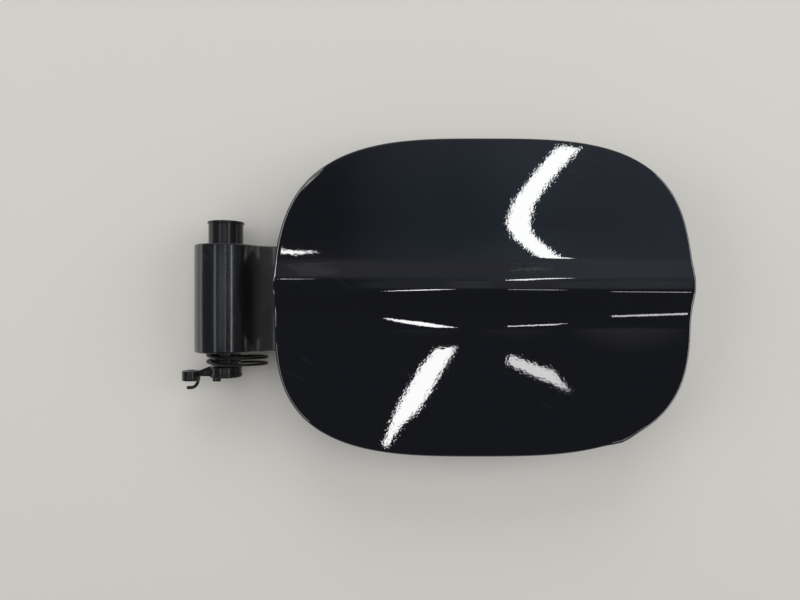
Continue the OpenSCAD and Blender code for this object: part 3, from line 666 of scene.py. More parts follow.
WIRE_D = 1.3 * MM
COIL_R = 14 * MM
COIL_PITCH = 3 * MM
COIL_SHIFT = 5.8 * MM
COIL_LIFT = 0.5 * MM
COIL_START = -30
COIL_STOP = 690
COIL_OFFSET = 1 * MM
LEG_LEN = 4 * MM
LEG_BEND_R = 1.3 * MM
TAIL_STEP = (-2.5 * MM, -0.6 * MM, -0.4 * MM)


def make_spring():
    """A leg into the arm's ear, two loose turns round the collar and a bent leg at the lever."""
    coil_y = -ARM_WIDTH / 2 - COIL_OFFSET

    def coil_point(degrees):
        """The wire's middle at one angle of the coil."""
        a = math.radians(degrees)
        y = coil_y - COIL_PITCH * (degrees - COIL_START) / 360
        return Vector((COIL_SHIFT - COIL_R * math.cos(a), y, COIL_LIFT + COIL_R * math.sin(a)))

    turn_points = 240
    coil = [coil_point(COIL_START + (COIL_STOP - COIL_START) * k / turn_points)
            for k in range(turn_points + 1)]
    bend_r = LEG_BEND_R
    first, ahead = coil[0], (coil[1] - coil[0]).normalized()
    leg_way = Vector((0, 1, 0))
    corner = [first + ahead * bend_r * t * t + leg_way * bend_r * (1 - t) ** 2
              for t in (1 - k / 9 for k in range(1, 9))]
    leg = [first + leg_way * (bend_r + (LEG_LEN - bend_r) * t) for t in np.linspace(0, 1, 6)]
    start = [p for p in coil if (p - first).length > bend_r]
    line = list(reversed(leg)) + list(reversed(corner)) + start
    last = line[-1]
    line += [last + Vector(TAIL_STEP) * t for t in (0.25, 0.5, 0.75, 1.0)]
    return fix_normals(join_parts("door_spring", [sweep(line, WIRE_D / 2, sides=16, up=(1, 0, 0))]))


# Small pieces on the underside

STUD_PLACES = ((80 * MM, 14 * MM), (80 * MM, -14 * MM), (101 * MM, 0.0))
STRIKER_Y = 5 * MM
NUT_H = 5 * MM
NUT_FLANGE_H = 1.2 * MM
NUT_FLANGE_SHARE = 2.2
NUT_SHARE = 1.85
NUT_TURNED_SHARE = 2.0
NUT_BORE_SHARE = 1.02
ARM_STUD_R = 3 * MM
THREAD_PITCH = 1 * MM
THREAD_DEPTH = 0.3 * MM


def lathe_down(profile):
    """Turns a closed profile of (radius, depth) round an axis that points down."""
    points, faces = lathe_y(profile, segments=48)
    return [(x, z, -y) for x, y, z in points], faces


def make_flange_nut(name, thread_r):
    """A flanged nut that hangs below the origin, with the chamfered corners of a turned hexagon."""
    sides, apothem = 72, thread_r * NUT_SHARE * math.cos(math.pi / 6)
    bore = thread_r * NUT_BORE_SHARE
    angles = [2 * math.pi * k / sides for k in range(sides)]
    wedges = [(a + math.pi / 6) % (math.pi / 3) - math.pi / 6 for a in angles]
    hexagon = [apothem / math.cos(wedge) for wedge in wedges]

    def ring(depth, widest):
        """The nut's outline at a depth, no wider than a turned circle."""
        return [(min(r, widest) * math.sin(a), min(r, widest) * math.cos(a), -depth)
                for a, r in zip(angles, hexagon)]

    turned = NUT_TURNED_SHARE * thread_r
    rings = [ring(NUT_FLANGE_H * 0.9, turned), ring(NUT_H - 0.7 * MM, turned),
             ring(NUT_H, NUT_SHARE * 0.87 * thread_r), ring(NUT_H, thread_r * 1.2),
             ring(NUT_H - 0.4 * MM, bore)]
    flange_r = thread_r * NUT_FLANGE_SHARE
    flange = [(bore, 0), (flange_r, 0), (flange_r, NUT_FLANGE_H * 0.6),
              (thread_r * 1.6, NUT_FLANGE_H + 0.3 * MM), (bore, NUT_FLANGE_H + 0.3 * MM)]
    return fix_normals(join_parts(name, [loft(rings), lathe_down(rounded_profile(flange, 0.25 * MM, 3))]))


# Helpers for node trees, and the two trees that grow pieces on points

NUMBER = "NodeSocketFloat"
GEOMETRY = "NodeSocketGeometry"


def new_tree(kind, name, inputs, outputs):
    """A node tree, what its named inputs give and what its named outputs take."""
    tree = bpy.data.node_groups.new(name, kind)
    for socket_name, socket_kind, value in inputs:
        socket = tree.interface.new_socket(name=socket_name, in_out="INPUT", socket_type=socket_kind)
        if value is not None:
            socket.default_value = value
    for socket_name, socket_kind in outputs:
        tree.interface.new_socket(name=socket_name, in_out="OUTPUT", socket_type=socket_kind)
    return tree, tree.nodes.new("NodeGroupInput").outputs, tree.nodes.new("NodeGroupOutput").inputs


def set_inputs(tree, node, inputs):
    """Gives each input its value, or a link from another node's output."""
    for key, value in inputs.items():
        if isinstance(value, bpy.types.NodeSocket):
            tree.links.new(value, node.inputs[key])
        else:
            node.inputs[key].default_value = value


def add_node(tree, kind, inputs=None, **settings):
    """Adds a node with its settings and its inputs, and hands back its outputs."""
    node = tree.nodes.new(kind)
    for key, value in settings.items():
        setattr(node, key, value)
    set_inputs(tree, node, inputs or {})
    return node.outputs


def geometry_tree(name, inputs):
    """A tree of Geometry Nodes with its named inputs."""
    return new_tree("GeometryNodeTree", name, [("Geometry", GEOMETRY, None)] + inputs,
                    [("Geometry", GEOMETRY)])


def close_tree(tree, given, result, shape):
    """Makes instances real and gives them their finish."""
    real = add_node(tree, "GeometryNodeRealizeInstances", {"Geometry": shape})
    finished = add_node(tree, "GeometryNodeSetMaterial",
                        {"Geometry": real["Geometry"], "Material": given["Finish"]})
    tree.links.new(finished["Geometry"], result["Geometry"])
    return tree


def placed_pieces_tree():
    """One piece on every point, each turned by its own chance angle."""
    tree, given, result = geometry_tree("pieces_on_points", [
        ("Piece", "NodeSocketObject", None), ("Largest Turn", NUMBER, 3.0), ("Size", NUMBER, 1.0),
        ("Seed", "NodeSocketInt", 4), ("Finish", "NodeSocketMaterial", None)])
    piece = add_node(tree, "GeometryNodeObjectInfo", {"Object": given["Piece"]})
    # Input 3 is the largest value and output 1 the result, for plain numbers
    chance = add_node(tree, "FunctionNodeRandomValue", {3: given["Largest Turn"], "Seed": given["Seed"]})
    axis = add_node(tree, "ShaderNodeCombineXYZ", {"Z": chance[1]})
    turn = add_node(tree, "FunctionNodeEulerToRotation", {"Euler": axis["Vector"]})
    spread = add_node(tree, "GeometryNodeInstanceOnPoints", {
        "Points": given["Geometry"], "Instance": piece["Geometry"], "Rotation": turn["Rotation"],
        "Scale": given["Size"]})
    return close_tree(tree, given, result, spread["Instances"])


def threaded_studs_tree():
    """A stud with a helical thread that stands up from every point."""
    tree, given, result = geometry_tree("threaded_studs", [
        ("Radius", NUMBER, ARM_STUD_R), ("Length", NUMBER, 10 * MM), ("Pitch", NUMBER, THREAD_PITCH),
        ("Depth", NUMBER, THREAD_DEPTH), ("Finish", "NodeSocketMaterial", None)])

    def combine(operation, first, second):
        """The result of one operation on two numbers."""
        return add_node(tree, "ShaderNodeMath", {0: first, 1: second}, operation=operation)["Value"]

    def lifted(shape, height):
        """The shape, moved up by a height."""
        up = add_node(tree, "ShaderNodeCombineXYZ", {"Z": height})
        return add_node(tree, "GeometryNodeTransform",
                        {"Geometry": shape, "Translation": up["Vector"]})["Geometry"]

    core_r = combine("SUBTRACT", given["Radius"], given["Depth"])
    core = add_node(tree, "GeometryNodeMeshCylinder", {"Radius": core_r, "Depth": given["Length"]})
    run = combine("SUBTRACT", given["Length"], combine("MULTIPLY", given["Depth"], 2.0))
    helix = add_node(tree, "GeometryNodeCurveSpiral", {
        "Resolution": 24, "Rotations": combine("DIVIDE", run, given["Pitch"]), "Height": run,
        "Start Radius": core_r, "End Radius": core_r})
    ridge = add_node(tree, "GeometryNodeCurvePrimitiveCircle", {"Resolution": 6, "Radius": given["Depth"]})
    thread = add_node(tree, "GeometryNodeCurveToMesh", {
        "Curve": helix["Curve"], "Profile Curve": ridge["Curve"], "Fill Caps": True})
    stud = tree.nodes.new("GeometryNodeJoinGeometry")
    tree.links.new(lifted(core["Mesh"], combine("MULTIPLY", given["Length"], 0.5)), stud.inputs[0])
    tree.links.new(lifted(thread["Mesh"], given["Depth"]), stud.inputs[0])
    spread = add_node(tree, "GeometryNodeInstanceOnPoints", {
        "Points": given["Geometry"], "Instance": stud.outputs["Geometry"]})
    return close_tree(tree, given, result, spread["Instances"])


def grow(name, tree, points, values):
    """Runs a tree on a handful of points and keeps its result as a plain mesh."""
    piece = new_object(name, points, [], smooth=False)
    layout = piece.modifiers.new("layout", "NODES")
    layout.node_group = tree
    for item in tree.interface.items_tree:
        if item.in_out == "INPUT" and item.name in values:
            layout[item.identifier] = values[item.name]
    bpy.context.view_layer.update()
    depsgraph = bpy.context.evaluated_depsgraph_get()
    mesh = bpy.data.meshes.new_from_object(piece.evaluated_get(depsgraph), depsgraph=depsgraph)
    piece.modifiers.remove(layout)
    piece.data = mesh
    return sharpen(piece)


def make_rubber_stop(node):
    """A turned rubber buffer with a flange, a waist and a rounded nose."""
    low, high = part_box(node)
    r, height = (high[0] - low[0]) / 2, high[2] - low[2]
    stem = r * 0.7
    profile = [(0.01 * MM, 0), (r, 0), (r, 1.5 * MM, 0.5 * MM), (stem, 1.9 * MM, 0.3 * MM),
               (stem - 0.25 * MM, height * 0.5, 0.4 * MM), (stem, height - 1.6 * MM, 0.4 * MM),
               (stem - 1.4 * MM, height, 0.5 * MM), (0.01 * MM, height)]
    points, faces = lathe_down(rounded_profile(profile, 0.2 * MM, 4))
    centre = (Vector(low) + Vector(high)) / 2
    moved = [(p[0] + centre.x, p[1] + centre.y, p[2] + high[2]) for p in points]
    return fix_normals(join_parts("rubber_" + node, [(moved, faces)]))


def softened_copy(name, node, edge):
    """A copy of a plain CAD piece whose sharp edges are rounded."""
    work = bmesh.new()
    work.from_mesh(frame["nodes"][node].data)
    bmesh.ops.remove_doubles(work, verts=work.verts, dist=1e-6)
    bmesh.ops.dissolve_limit(work, angle_limit=math.radians(1), verts=work.verts, edges=work.edges)
    sharp = [e for e in work.edges if len(e.link_faces) == 2 and e.calc_face_angle() > math.radians(40)]
    bmesh.ops.bevel(work, geom=sharp, offset=edge, segments=2, profile=0.5, affect="EDGES",
                    clamp_overlap=True)
    return sharpen(fix_normals(new_object(name, *points_and_faces(work))), 25)


# Shader groups that several materials share

SCRATCH_STRETCH = (1.0, 18.0, 1.0)
SCRATCH_TURN = 0.6
# Noise levels between which scratches and rubbed patches set in
SCRATCH_RAMP = (0.62, 0.7)
RUBBED_RAMP = (0.5, 0.7)
SCUFF_ROUGHNESS = 0.4
LEAST_ROUGHNESS = 0.02
DUST_COLOUR = (0.13, 0.132, 0.13)
DUST_FULL_TOP = -2 * MM
DUST_FULL_FOOT = -3.2 * MM


def product(tree, first, second):
    """Two numbers multiplied."""
    return add_node(tree, "ShaderNodeMath", {0: first, 1: second}, operation="MULTIPLY")["Value"]


def ramp(tree, value, start, stop, low=0.0, high=1.0, soft=False):
    """A number that goes from low to high while a value goes from start to stop."""
    return add_node(tree, "ShaderNodeMapRange", {
        "Value": value, "From Min": start, "From Max": stop, "To Min": low, "To Max": high},
        interpolation_type="SMOOTHSTEP" if soft else "LINEAR")["Result"]


def noise(tree, spot, scale, detail=2.0):
    """A cloudy pattern of numbers between zero and one."""
    return add_node(tree, "ShaderNodeTexNoise", {"Vector": spot, "Scale": scale, "Detail": detail})["Fac"]


def mix_colour(tree, mask, below, above):
    """One colour with another laid over it where a mask says so."""
    return add_node(tree, "ShaderNodeMix", {"Factor": mask, "A": below, "B": above},
                    data_type="RGBA")["Result"]


def grain_group():
    """Fine surface unevenness: a height made of a coarse and a fine noise."""
    tree, given, result = new_tree(
        "ShaderNodeTree", "surface_grain",
        [("Coarse Scale", NUMBER, 200.0), ("Fine Scale", NUMBER, 900.0), ("Fine Share", NUMBER, 0.5)],
        [("Height", NUMBER), ("Mask", NUMBER)])
    spot = add_node(tree, "ShaderNodeTexCoord")["Object"]
    coarse, fine = noise(tree, spot, given["Coarse Scale"]), noise(tree, spot, given["Fine Scale"])
    mix = add_node(tree, "ShaderNodeMix", {"Factor": given["Fine Share"], "A": coarse, "B": fine})
    tree.links.new(mix["Result"], result["Height"])
    tree.links.new(coarse, result["Mask"])
    return tree


def wear_group():
    """Scratches and rubbed patches: a mask from stretched noise, gated by a patchy one."""
    tree, given, result = new_tree(
        "ShaderNodeTree", "scuff_marks",
        [("Scale", NUMBER, 60.0), ("Amount", NUMBER, 0.4), ("Turn", NUMBER, 0.5)], [("Mask", NUMBER)])
    spot = add_node(tree, "ShaderNodeTexCoord")["Object"]
    turn = add_node(tree, "ShaderNodeVectorRotate", {"Vector": spot, "Angle": given["Turn"]})
    stretch = add_node(tree, "ShaderNodeVectorMath", {0: turn["Vector"], 1: SCRATCH_STRETCH},
                       operation="MULTIPLY")
    scratched = ramp(tree, noise(tree, stretch["Vector"], given["Scale"], detail=3.0), *SCRATCH_RAMP)
    rubbed = ramp(tree, noise(tree, spot, given["Scale"]), *RUBBED_RAMP)
    tree.links.new(product(tree, product(tree, scratched, rubbed), given["Amount"]), result["Mask"])
    return tree


def dust_group():
    """Dust that has settled between two heights: a mask from height and noise."""
    tree, given, result = new_tree(
        "ShaderNodeTree", "settled_dust",
        [("Amount", NUMBER, 0.5), ("Top", NUMBER, 8 * MM), ("Foot", NUMBER, -4 * MM),
         ("Scale", NUMBER, 160.0)], [("Mask", NUMBER)])
    spot = add_node(tree, "ShaderNodeTexCoord")["Object"]
    height = add_node(tree, "ShaderNodeSeparateXYZ", {"Vector": spot})["Z"]
    below = ramp(tree, height, given["Top"], DUST_FULL_TOP, soft=True)
    above = ramp(tree, height, given["Foot"], DUST_FULL_FOOT)
    spread = ramp(tree, noise(tree, spot, given["Scale"]), 0.0, 1.0, low=0.5)
    mask = given["Amount"]
    for factor in (below, above, spread):
        mask = product(tree, mask, factor)
    tree.links.new(mask, result["Mask"])
    return tree


GRAIN = grain_group()
SCUFFS = wear_group()
DUST = dust_group()


def finish_material(name, colour, roughness, grain, bump, scuffs=0.0, scuff_colour=None,
                    rough_spread=0.06, metallic=0.0, coat=0.0, coat_roughness=0.03, specular=0.5,
                    mottle=0.15, scuff_scale=60.0, dust=0.0):
    """A surface with grain in its height and roughness, mottled colour, scuffs and dust."""
    material = bpy.data.materials.new(name)
    material.use_nodes = True
    tree = material.node_tree
    coarse_scale, fine_scale, fine_share = grain
    texture = add_node(tree, "ShaderNodeGroup", {
        "Coarse Scale": coarse_scale, "Fine Scale": fine_scale, "Fine Share": fine_share}, node_tree=GRAIN)
    marks = add_node(tree, "ShaderNodeGroup", {
        "Scale": scuff_scale, "Amount": scuffs, "Turn": SCRATCH_TURN}, node_tree=SCUFFS)["Mask"]
    film = add_node(tree, "ShaderNodeGroup", {"Amount": dust}, node_tree=DUST)["Mask"]
    height = add_node(tree, "ShaderNodeBump", {
        "Strength": 1.0, "Distance": bump, "Height": texture["Height"]})
    darker, lighter = ((*[c * (1 + step) for c in colour], 1) for step in (-mottle, mottle))
    worn = scuff_colour or [min(1, c * 2 + 0.02) for c in colour]
    base = mix_colour(tree, texture["Mask"], darker, lighter)
    base = mix_colour(tree, marks, base, (*worn, 1))
    base = mix_colour(tree, film, base, (*DUST_COLOUR, 1))
    rough = ramp(tree, texture["Mask"], 0.0, 1.0, low=max(LEAST_ROUGHNESS, roughness - rough_spread),
                 high=roughness + rough_spread)
    rougher = add_node(tree, "ShaderNodeMath", {0: marks, 1: SCUFF_ROUGHNESS, 2: rough},
                       operation="MULTIPLY_ADD")
    set_inputs(tree, tree.nodes["Principled BSDF"], {
        "Base Color": base, "Roughness": rougher["Value"], "Metallic": metallic, "Coat Weight": coat,
        "Coat Roughness": coat_roughness, "Specular IOR Level": specular, "Normal": height["Normal"]})
    return material


def dress(obj, material):
    """Gives a piece one finish all over."""
    obj.data.materials.clear()
    obj.data.materials.append(material)
    for polygon in obj.data.polygons:
        polygon.material_index = 0


paint = finish_material("gloss_black_paint", (0.0032, 0.0036, 0.0056), 0.012,
                        (480.0, 1000.0, 0.4), 0.012 * MM, scuffs=0.08, rough_spread=0.004,
                        specular=1.0, scuff_scale=35.0, scuff_colour=(0.06, 0.06, 0.065))
arm_paint = finish_material("arm_black_paint", (0.006, 0.0065, 0.0075), 0.2,
                            (350.0, 1400.0, 0.35), 0.03 * MM, scuffs=0.12, dust=0.4, rough_spread=0.06,
                            coat=0.7, coat_roughness=0.08, scuff_scale=90.0,
                            scuff_colour=(0.16, 0.16, 0.155))
black_plastic = finish_material("satin_black_plastic", (0.008, 0.008, 0.0085), 0.17, (900.0, 3500.0, 0.5),
                                0.02 * MM, scuffs=0.3, scuff_scale=120.0)
zinc = finish_material("dull_zinc", (0.42, 0.43, 0.44), 0.42, (500.0, 2500.0, 0.5), 0.01 * MM, metallic=1.0,
                       scuffs=0.3, scuff_scale=90.0)
nylon = finish_material("white_nylon", (0.62, 0.6, 0.54), 0.4, (700.0, 2000.0, 0.4), 0.01 * MM)
rubber = finish_material("black_rubber", (0.016, 0.016, 0.016), 0.75, (900.0, 3000.0, 0.5), 0.04 * MM)
dark_steel = finish_material("oiled_spring_steel", (0.09, 0.082, 0.07), 0.33,
                             (900.0, 3600.0, 0.5), 0.02 * MM, metallic=1.0, scuffs=0.5,
                             scuff_colour=(0.3, 0.27, 0.22), mottle=0.4, scuff_scale=150.0)
mastic = finish_material("grey_mastic", (0.09, 0.085, 0.08), 0.7, (600.0, 2000.0, 0.5), 0.1 * MM)

SLOT_MATERIALS = {"black_paint": arm_paint, "black_plastic": black_plastic, "zinc_steel": zinc,
                  "nylon": nylon, "rubber": rubber, "spring_steel": dark_steel, "mastic": mastic}

for part in frame["record"]["subparts"]:
    cad_piece = frame["nodes"][part["node"]]
    cad_piece.data.materials.clear()
    cad_piece.data.materials.append(SLOT_MATERIALS[part["material_slot"]])


def place(piece, material, body, node):
    """Gives a modelled piece its finish and its body, and hides the CAD node that it stands for."""
    dress(piece, material)
    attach(piece, body)
    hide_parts(node)


skin, arm, barrel, collar, lever = make_skin(), make_arm(), make_barrel(), make_collar(), make_lever()
place(skin, paint, "door", "outer_skin")
place(make_inner_panel(), arm_paint, "door", "inner_panel")
place(arm, arm_paint, "door", "hinge_arm")
place(barrel, black_plastic, "pivot", "pivot_barrel")
place(collar, black_plastic, "pivot", "spacer_collar")
place(lever, black_plastic, "pivot", "hook_lever")

for stop in ("bump_stop_1", "bump_stop_2", "bump_stop_3", "bump_stop_4"):
    place(make_rubber_stop(stop), rubber, "door", stop)
striker = softened_copy("striker_bracket", "latch_striker", 0.35 * MM)
place(striker, zinc, "door", "latch_striker")
cap_rest = softened_copy("cap_rest", "cap_holder", 0.3 * MM)
place(cap_rest, black_plastic, "door", "cap_holder")
rivets = softened_copy("cap_rest_rivets", "cap_holder_clips", 0.3 * MM)
place(rivets, nylon, "door", "cap_holder_clips")

PLACED_PIECES = placed_pieces_tree()
THREADED_STUDS = threaded_studs_tree()


def place_fasteners(kind, spots, thread_r):
    """The studs and the nuts of one piece, at its spots."""
    stud_node, nut_node = kind + "_studs", kind + "_nuts"
    low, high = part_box(stud_node)
    studs = grow(kind + "_threaded_studs", THREADED_STUDS, [(x, y, low[2]) for x, y in spots],
                 {"Radius": thread_r, "Length": high[2] - low[2], "Finish": zinc})
    place(studs, zinc, "door", stud_node)
    nut = make_flange_nut(kind + "_nut_pattern", thread_r)
    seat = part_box(nut_node)[1][2]
    nuts = grow(kind + "_flange_nuts", PLACED_PIECES, [(x, y, seat) for x, y in spots],
                {"Piece": nut, "Largest Turn": 0.9, "Seed": 7, "Finish": zinc})
    bpy.data.objects.remove(nut)
    place(nuts, zinc, "door", nut_node)


striker_low, striker_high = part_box("striker_studs")
STRIKER_R = (striker_high[1] - striker_low[1]) / 2
STRIKER_SPOTS = ((striker_low[0] + STRIKER_R, STRIKER_Y), (striker_high[0] - STRIKER_R, STRIKER_Y))
place_fasteners("arm", STUD_PLACES, ARM_STUD_R)
place_fasteners("striker", STRIKER_SPOTS, STRIKER_R)

spring = make_spring()
dress(spring, dark_steel)
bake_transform(spring)
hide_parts("torsion_spring")


# Camera

camera_data = bpy.data.cameras.new("camera")
camera_data.sensor_width = SENSOR_MM
camera_data.lens = FOCAL_PIXELS / PHOTO_WIDTH * SENSOR_MM
camera_data.clip_start = 0.01
camera = bpy.data.objects.new("camera", camera_data)
camera.location = CAMERA_PLACE
bpy.context.scene.collection.objects.link(camera)
bpy.context.scene.camera = camera


# Floor, lamps and world

FLOOR_HALF = 3.0
FLOOR_COLOUR = (0.56, 0.55, 0.52)
# Distances from the origin between which the floor fades into the backdrop
FLOOR_FADE = (0.45, 1.5)


def level_corners(low_x, high_x, half_y, z):
    """Corners of a level rectangle that reaches equally far to both sides in Y."""
    return [(low_x, -half_y, z), (high_x, -half_y, z), (high_x, half_y, z), (low_x, half_y, z)]


def make_floor():
    """The pale table, which fades into the backdrop for the camera alone."""
    corners = level_corners(-FLOOR_HALF, FLOOR_HALF, FLOOR_HALF, FLOOR_Z)
    floor = new_object("floor", corners, [(0, 1, 2, 3)])
    material = bpy.data.materials.new("pale_table")
    material.use_nodes = True
    tree = material.node_tree
    shader = tree.nodes["Principled BSDF"]
    set_inputs(tree, shader, {"Base Color": (*FLOOR_COLOUR, 1), "Roughness": 0.7})
    spot = add_node(tree, "ShaderNodeTexCoord")["Object"]
    distance = add_node(tree, "ShaderNodeVectorMath", {0: spot}, operation="LENGTH")["Value"]
    fade = ramp(tree, distance, *FLOOR_FADE, soft=True)
    share = product(tree, fade, add_node(tree, "ShaderNodeLightPath")["Is Camera Ray"])
    pale = add_node(tree, "ShaderNodeEmission", {"Color": (*ROOM_PALE, 1)})
    mixed = add_node(tree, "ShaderNodeMixShader", {
        "Fac": share, 1: shader.outputs["BSDF"], 2: pale["Emission"]})
    set_inputs(tree, tree.nodes["Material Output"], {"Surface": mixed["Shader"]})
    floor.data.materials.append(material)


def face_hit(px, py):
    """Where the camera's ray through a pixel meets the painted face, and the ray's direction."""
    ray = Vector(((px - PHOTO_WIDTH / 2) / FOCAL_PIXELS, (PHOTO_HEIGHT / 2 - py) / FOCAL_PIXELS, -1))
    depth = CAMERA_PLACE.z - CREASE_HEIGHT
    for _ in range(12):
        point = CAMERA_PLACE + ray * depth
        depth = CAMERA_PLACE.z - float(face_z(point.x, point.y))
    return CAMERA_PLACE + ray * depth, ray.normalized()


def lamp_point(px, py, level):
    """The point on a level overhead that the door mirrors at a pixel."""
    point, ray = face_hit(px, py)
    normal = face_normal(point.x, point.y)
    out = ray - 2 * ray.dot(normal) * normal
    return point + out * ((level - point.z) / out.z)


# Row of the photograph at which the upper hollow folds a reflection back, how far the tube's
# sheet runs on past it, and how many rows up its direction is taken from
FOLD_ROW = 222.5
FOLD_REACH = 30 * MM
FOLD_STEP = 12

# The lamps' reflections: outline on the face in the photograph's pixels, strength, lamp's height in metres
LAMP_GLOWS = {
    "upper_tube": ([(558, 146), (581, 148), (562, 167), (544, 190), (533, 206), (529, FOLD_ROW),
                    (504, FOLD_ROW), (514, 200), (532, 176), (548, 157)], 12.0, 1.3),
    "lower_tube": ([(436, 349), (456, 347), (443, 369), (431, 390), (418, 411), (406, 421), (395, 434),
                    (388, 446), (383, 446), (387, 434), (395, 412), (407, 390), (420, 368)], 12.0, 1.3),
    "lower_glow": ([(507, 362), (511, 355), (528, 362), (545, 368), (553, 370), (560, 379), (570, 392),
                    (556, 385), (534, 376), (512, 366)], 7.5, 1.3),
    "low_right_lamp": ([(612, 315.6), (650, 314.2), (692, 312.8), (692, 314.6), (650, 316), (612, 317)],
                       6.0, 1.3),
    "bevel_streak_right": ([(510, 270), (540, 268), (556, 268.2), (540, 269.5), (512, 271)], 0.6, 1.3),
    "bevel_streak_left": ([(285, 264.5), (310, 262.8), (340, 263.5), (312, 264.6), (286, 266)], 0.12, 1.3),
    "left_lamp": ([(280, 247), (285, 250), (300, 250.8), (319, 252.3), (300, 254), (282, 254.3)], 12.0, 8.0),
}


def mirror_group(name, pieces):
    """The pieces that mirror a set of lit sheets."""
    group = bpy.data.collections.new(name)
    for piece in pieces:
        group.objects.link(piece)
    return group


FACE_MIRRORS = mirror_group("face_mirrors", [skin])
HINGE_MIRRORS = mirror_group("hinge_mirrors", [arm, barrel, collar, lever])


def light_sheet(name, points, colour, strength, mirrors, faces=None):
    """A lit sheet that only the gloss of some pieces sees."""
    sheet = new_object(name, points, faces or [tuple(range(len(points)))], smooth=False)
    material = bpy.data.materials.new(name + "_light")
    material.use_nodes = True
    tree = material.node_tree
    tree.nodes.clear()
    emission = add_node(tree, "ShaderNodeEmission", {"Color": (*colour, 1), "Strength": strength})
    clear = add_node(tree, "ShaderNodeBsdfTransparent")
    both = add_node(tree, "ShaderNodeAddShader", {0: emission["Emission"], 1: clear["BSDF"]})
    add_node(tree, "ShaderNodeOutputMaterial", {"Surface": both["Shader"]})
    sheet.data.materials.append(material)
    sheet.visible_camera = False
    sheet.visible_diffuse = False
    sheet.visible_shadow = False
    sheet.light_linking.receiver_collection = mirrors


def make_lamp_glow(name, outline, strength, level):
    """A lit sheet overhead that shows on the painted face alone, where the photograph has it."""
    points = []
    for px, py in outline:
        point = lamp_point(px, py, level)
        if py == FOLD_ROW:
            point += (point - lamp_point(px, py - FOLD_STEP, level)).normalized() * FOLD_REACH
        points.append(point)
    light_sheet("lamp_" + name, points, (1, 1, 1), strength, FACE_MIRRORS)


# What the rolled rim mirrors: (first azimuth, last azimuth, lower and upper elevation, strength)
RIM_GLOWS = {
    "rim_upper_left": (122, 170, 36, 48, 7.0),
    "rim_lower_left": (192, 234, 36, 48, 4.0),
    "rim_right": (-44, 38, 16, 28, 5.0),
}
# X of the middle of these bands, and their distance from it, in metres
RIM_GLOW_MIDDLE = 0.09
RIM_GLOW_REACH = 1.5


def make_rim_glows():
    """Lit bands round the door that show as a thin line along its rolled rim."""
    steps = 12
    for name, (first, last, lower, upper, strength) in RIM_GLOWS.items():
        points = []
        for step in range(steps + 1):
            azimuth = math.radians(first + (last - first) * step / steps)
            for elevation in (math.radians(lower), math.radians(upper)):
                flat, height = RIM_GLOW_REACH * math.cos(elevation), RIM_GLOW_REACH * math.sin(elevation)
                points.append((RIM_GLOW_MIDDLE + flat * math.cos(azimuth), flat * math.sin(azimuth), height))
        faces = [(2 * i, 2 * i + 2, 2 * i + 3, 2 * i + 1) for i in range(steps)]
        light_sheet(name, points, (1, 1, 1), strength, FACE_MIRRORS, faces)


# What the curl mirrors: (middle along X, width, half length along Y, height, colour, strength)
HINGE_STRIPS = {
    "thin_strip": (0.3, 0.03, 0.5, 1.3, (1.0, 1.0, 1.0), 3.5),
    "right_strip": (0.93, 0.17, 0.6, 1.3, (1.0, 1.0, 1.02), 3.0),
    "left_strip": (-0.58, 0.2, 0.5, 1.3, (0.85, 0.95, 1.1), 1.5),
    "overhead_panel": (-0.05, 0.5, 0.4, 1.4, (0.9, 0.95, 1.0), 0.35),
}


def make_hinge_strips():
    """Lit strips along the pivot, and a pale wall beyond it, that the hinge pieces alone mirror."""
    for name, (middle, width, half_length, level, colour, strength) in HINGE_STRIPS.items():
        corners = level_corners(middle - width / 2, middle + width / 2, half_length, level)
        light_sheet("hinge_" + name, corners, colour, strength, HINGE_MIRRORS)
    wall_x, reach, top = -1.5, 0.9, 0.3
    wall = [(wall_x, -reach, FLOOR_Z), (wall_x, reach, FLOOR_Z), (wall_x, reach, top), (wall_x, -reach, top)]
    light_sheet("hinge_left_wall", wall, (1.0, 0.99, 0.92), 0.75, HINGE_MIRRORS)


def add_softbox(name, place_at, target, size, power):
    """A flat lamp that lights the pieces but doesn't show in their gloss."""
    data = bpy.data.lights.new(name, "AREA")
    data.shape = "RECTANGLE"
    data.size, data.size_y = size
    data.energy = power
    lamp = bpy.data.objects.new(name, data)
    lamp.location = place_at
    lamp.rotation_euler = (Vector(target) - Vector(place_at)).to_track_quat("-Z", "Y").to_euler()
    lamp.visible_glossy = False
    bpy.context.scene.collection.objects.link(lamp)


# What the gloss mirrors of the room, by direction: (towards, colour, half angle inside, outside)
ROOM_GLOWS = {
    "far_wall": ((0.05, 0.72, 0.5), (0.17, 0.17, 0.19), 8, 42),
    "window_light": ((0.5, 0.34, 0.8), (0.13, 0.16, 0.2), 4, 26),
    "upper_haze": ((0.1, 0.27, 0.96), (0.06, 0.1, 0.13), 3, 15),
    "ceiling_near": ((0.02, 0.03, 1.0), (0.1, 0.1, 0.1), 3, 9),
    "ceiling_mid": ((0.2, 0.03, 0.98), (0.13, 0.13, 0.13), 3, 9),
    "ceiling_far": ((0.4, 0.0, 0.92), (0.13, 0.13, 0.13), 3, 9),
    "right_wall": ((1.0, 0.1, 0.05), (0.25, 0.25, 0.26), 8, 25),
}
ROOM_DARK = (0.062, 0.063, 0.072)
ROOM_PALE = (0.62, 0.61, 0.58)
DIFFUSE_LEVEL = 0.3
# The room's pale walls, low down all round
HORIZON_GLOW = (0.35, 0.35, 0.34)
HORIZON_TOP = 0.3


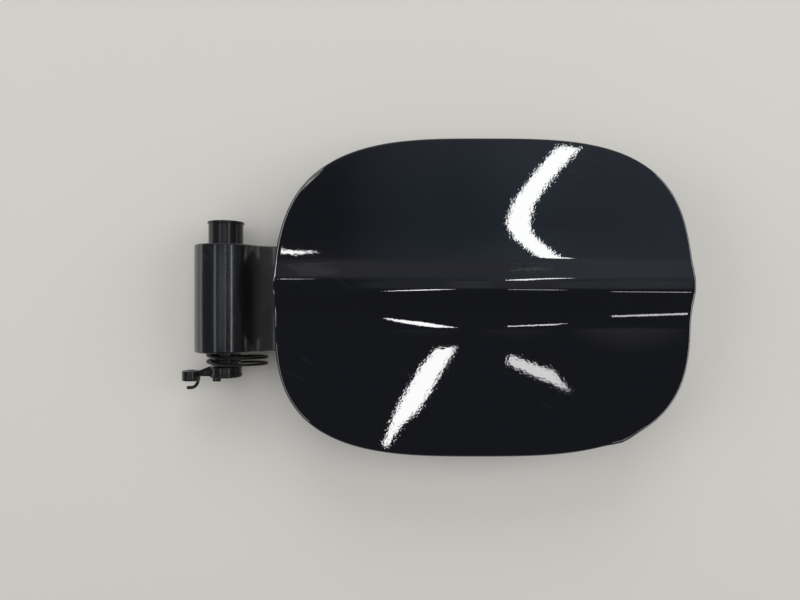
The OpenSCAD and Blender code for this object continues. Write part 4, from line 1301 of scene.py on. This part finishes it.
def make_world():
    """Plain soft light, a pale backdrop for the camera and a dim room for the gloss."""
    world = bpy.data.worlds.new("room")
    bpy.context.scene.world = world
    world.use_nodes = True
    tree = world.node_tree
    way = add_node(tree, "ShaderNodeTexCoord")["Generated"]

    def add_glow(so_far, strength, colour):
        """What the room shows so far, with a glow added to it."""
        glow = add_node(tree, "ShaderNodeVectorMath", {0: colour, "Scale": strength}, operation="SCALE")
        return add_node(tree, "ShaderNodeVectorMath", {0: so_far, 1: glow["Vector"]})["Vector"]

    room = ROOM_DARK
    for towards, colour, inside, outside in ROOM_GLOWS.values():
        facing = add_node(tree, "ShaderNodeVectorMath", {0: way, 1: Vector(towards).normalized()},
                          operation="DOT_PRODUCT")["Value"]
        edges = [math.cos(math.radians(angle)) for angle in (outside, inside)]
        room = add_glow(room, ramp(tree, facing, *edges, soft=True), colour)
    height = add_node(tree, "ShaderNodeSeparateXYZ", {"Vector": way})["Z"]
    room = add_glow(room, ramp(tree, height, HORIZON_TOP, 0.0, soft=True), HORIZON_GLOW)
    path = add_node(tree, "ShaderNodeLightPath")
    lit = mix_colour(tree, path["Is Diffuse Ray"], room, (DIFFUSE_LEVEL, DIFFUSE_LEVEL, DIFFUSE_LEVEL, 1))
    shown = mix_colour(tree, path["Is Camera Ray"], lit, (*ROOM_PALE, 1))
    set_inputs(tree, tree.nodes["Background"], {"Color": shown, "Strength": 1.0})


make_floor()
for glow_name, glow in LAMP_GLOWS.items():
    make_lamp_glow(glow_name, *glow)
make_rim_glows()
make_hinge_strips()
DOOR_MIDDLE = (0.1, 0, 0)
add_softbox("softbox_left", (-1.1, 0.1, 0.75), DOOR_MIDDLE, (0.9, 0.9), 7)
add_softbox("softbox_right", (1.3, 0.15, 0.8), DOOR_MIDDLE, (0.9, 0.9), 9)
add_softbox("softbox_far", (0.1, 1.6, 0.9), DOOR_MIDDLE, (1.2, 0.8), 12)
add_softbox("softbox_above", (0.15, 0.2, 1.6), DOOR_MIDDLE, (1.4, 1.4), 9)
make_world()
bpy.context.scene.view_settings.view_transform = "Standard"
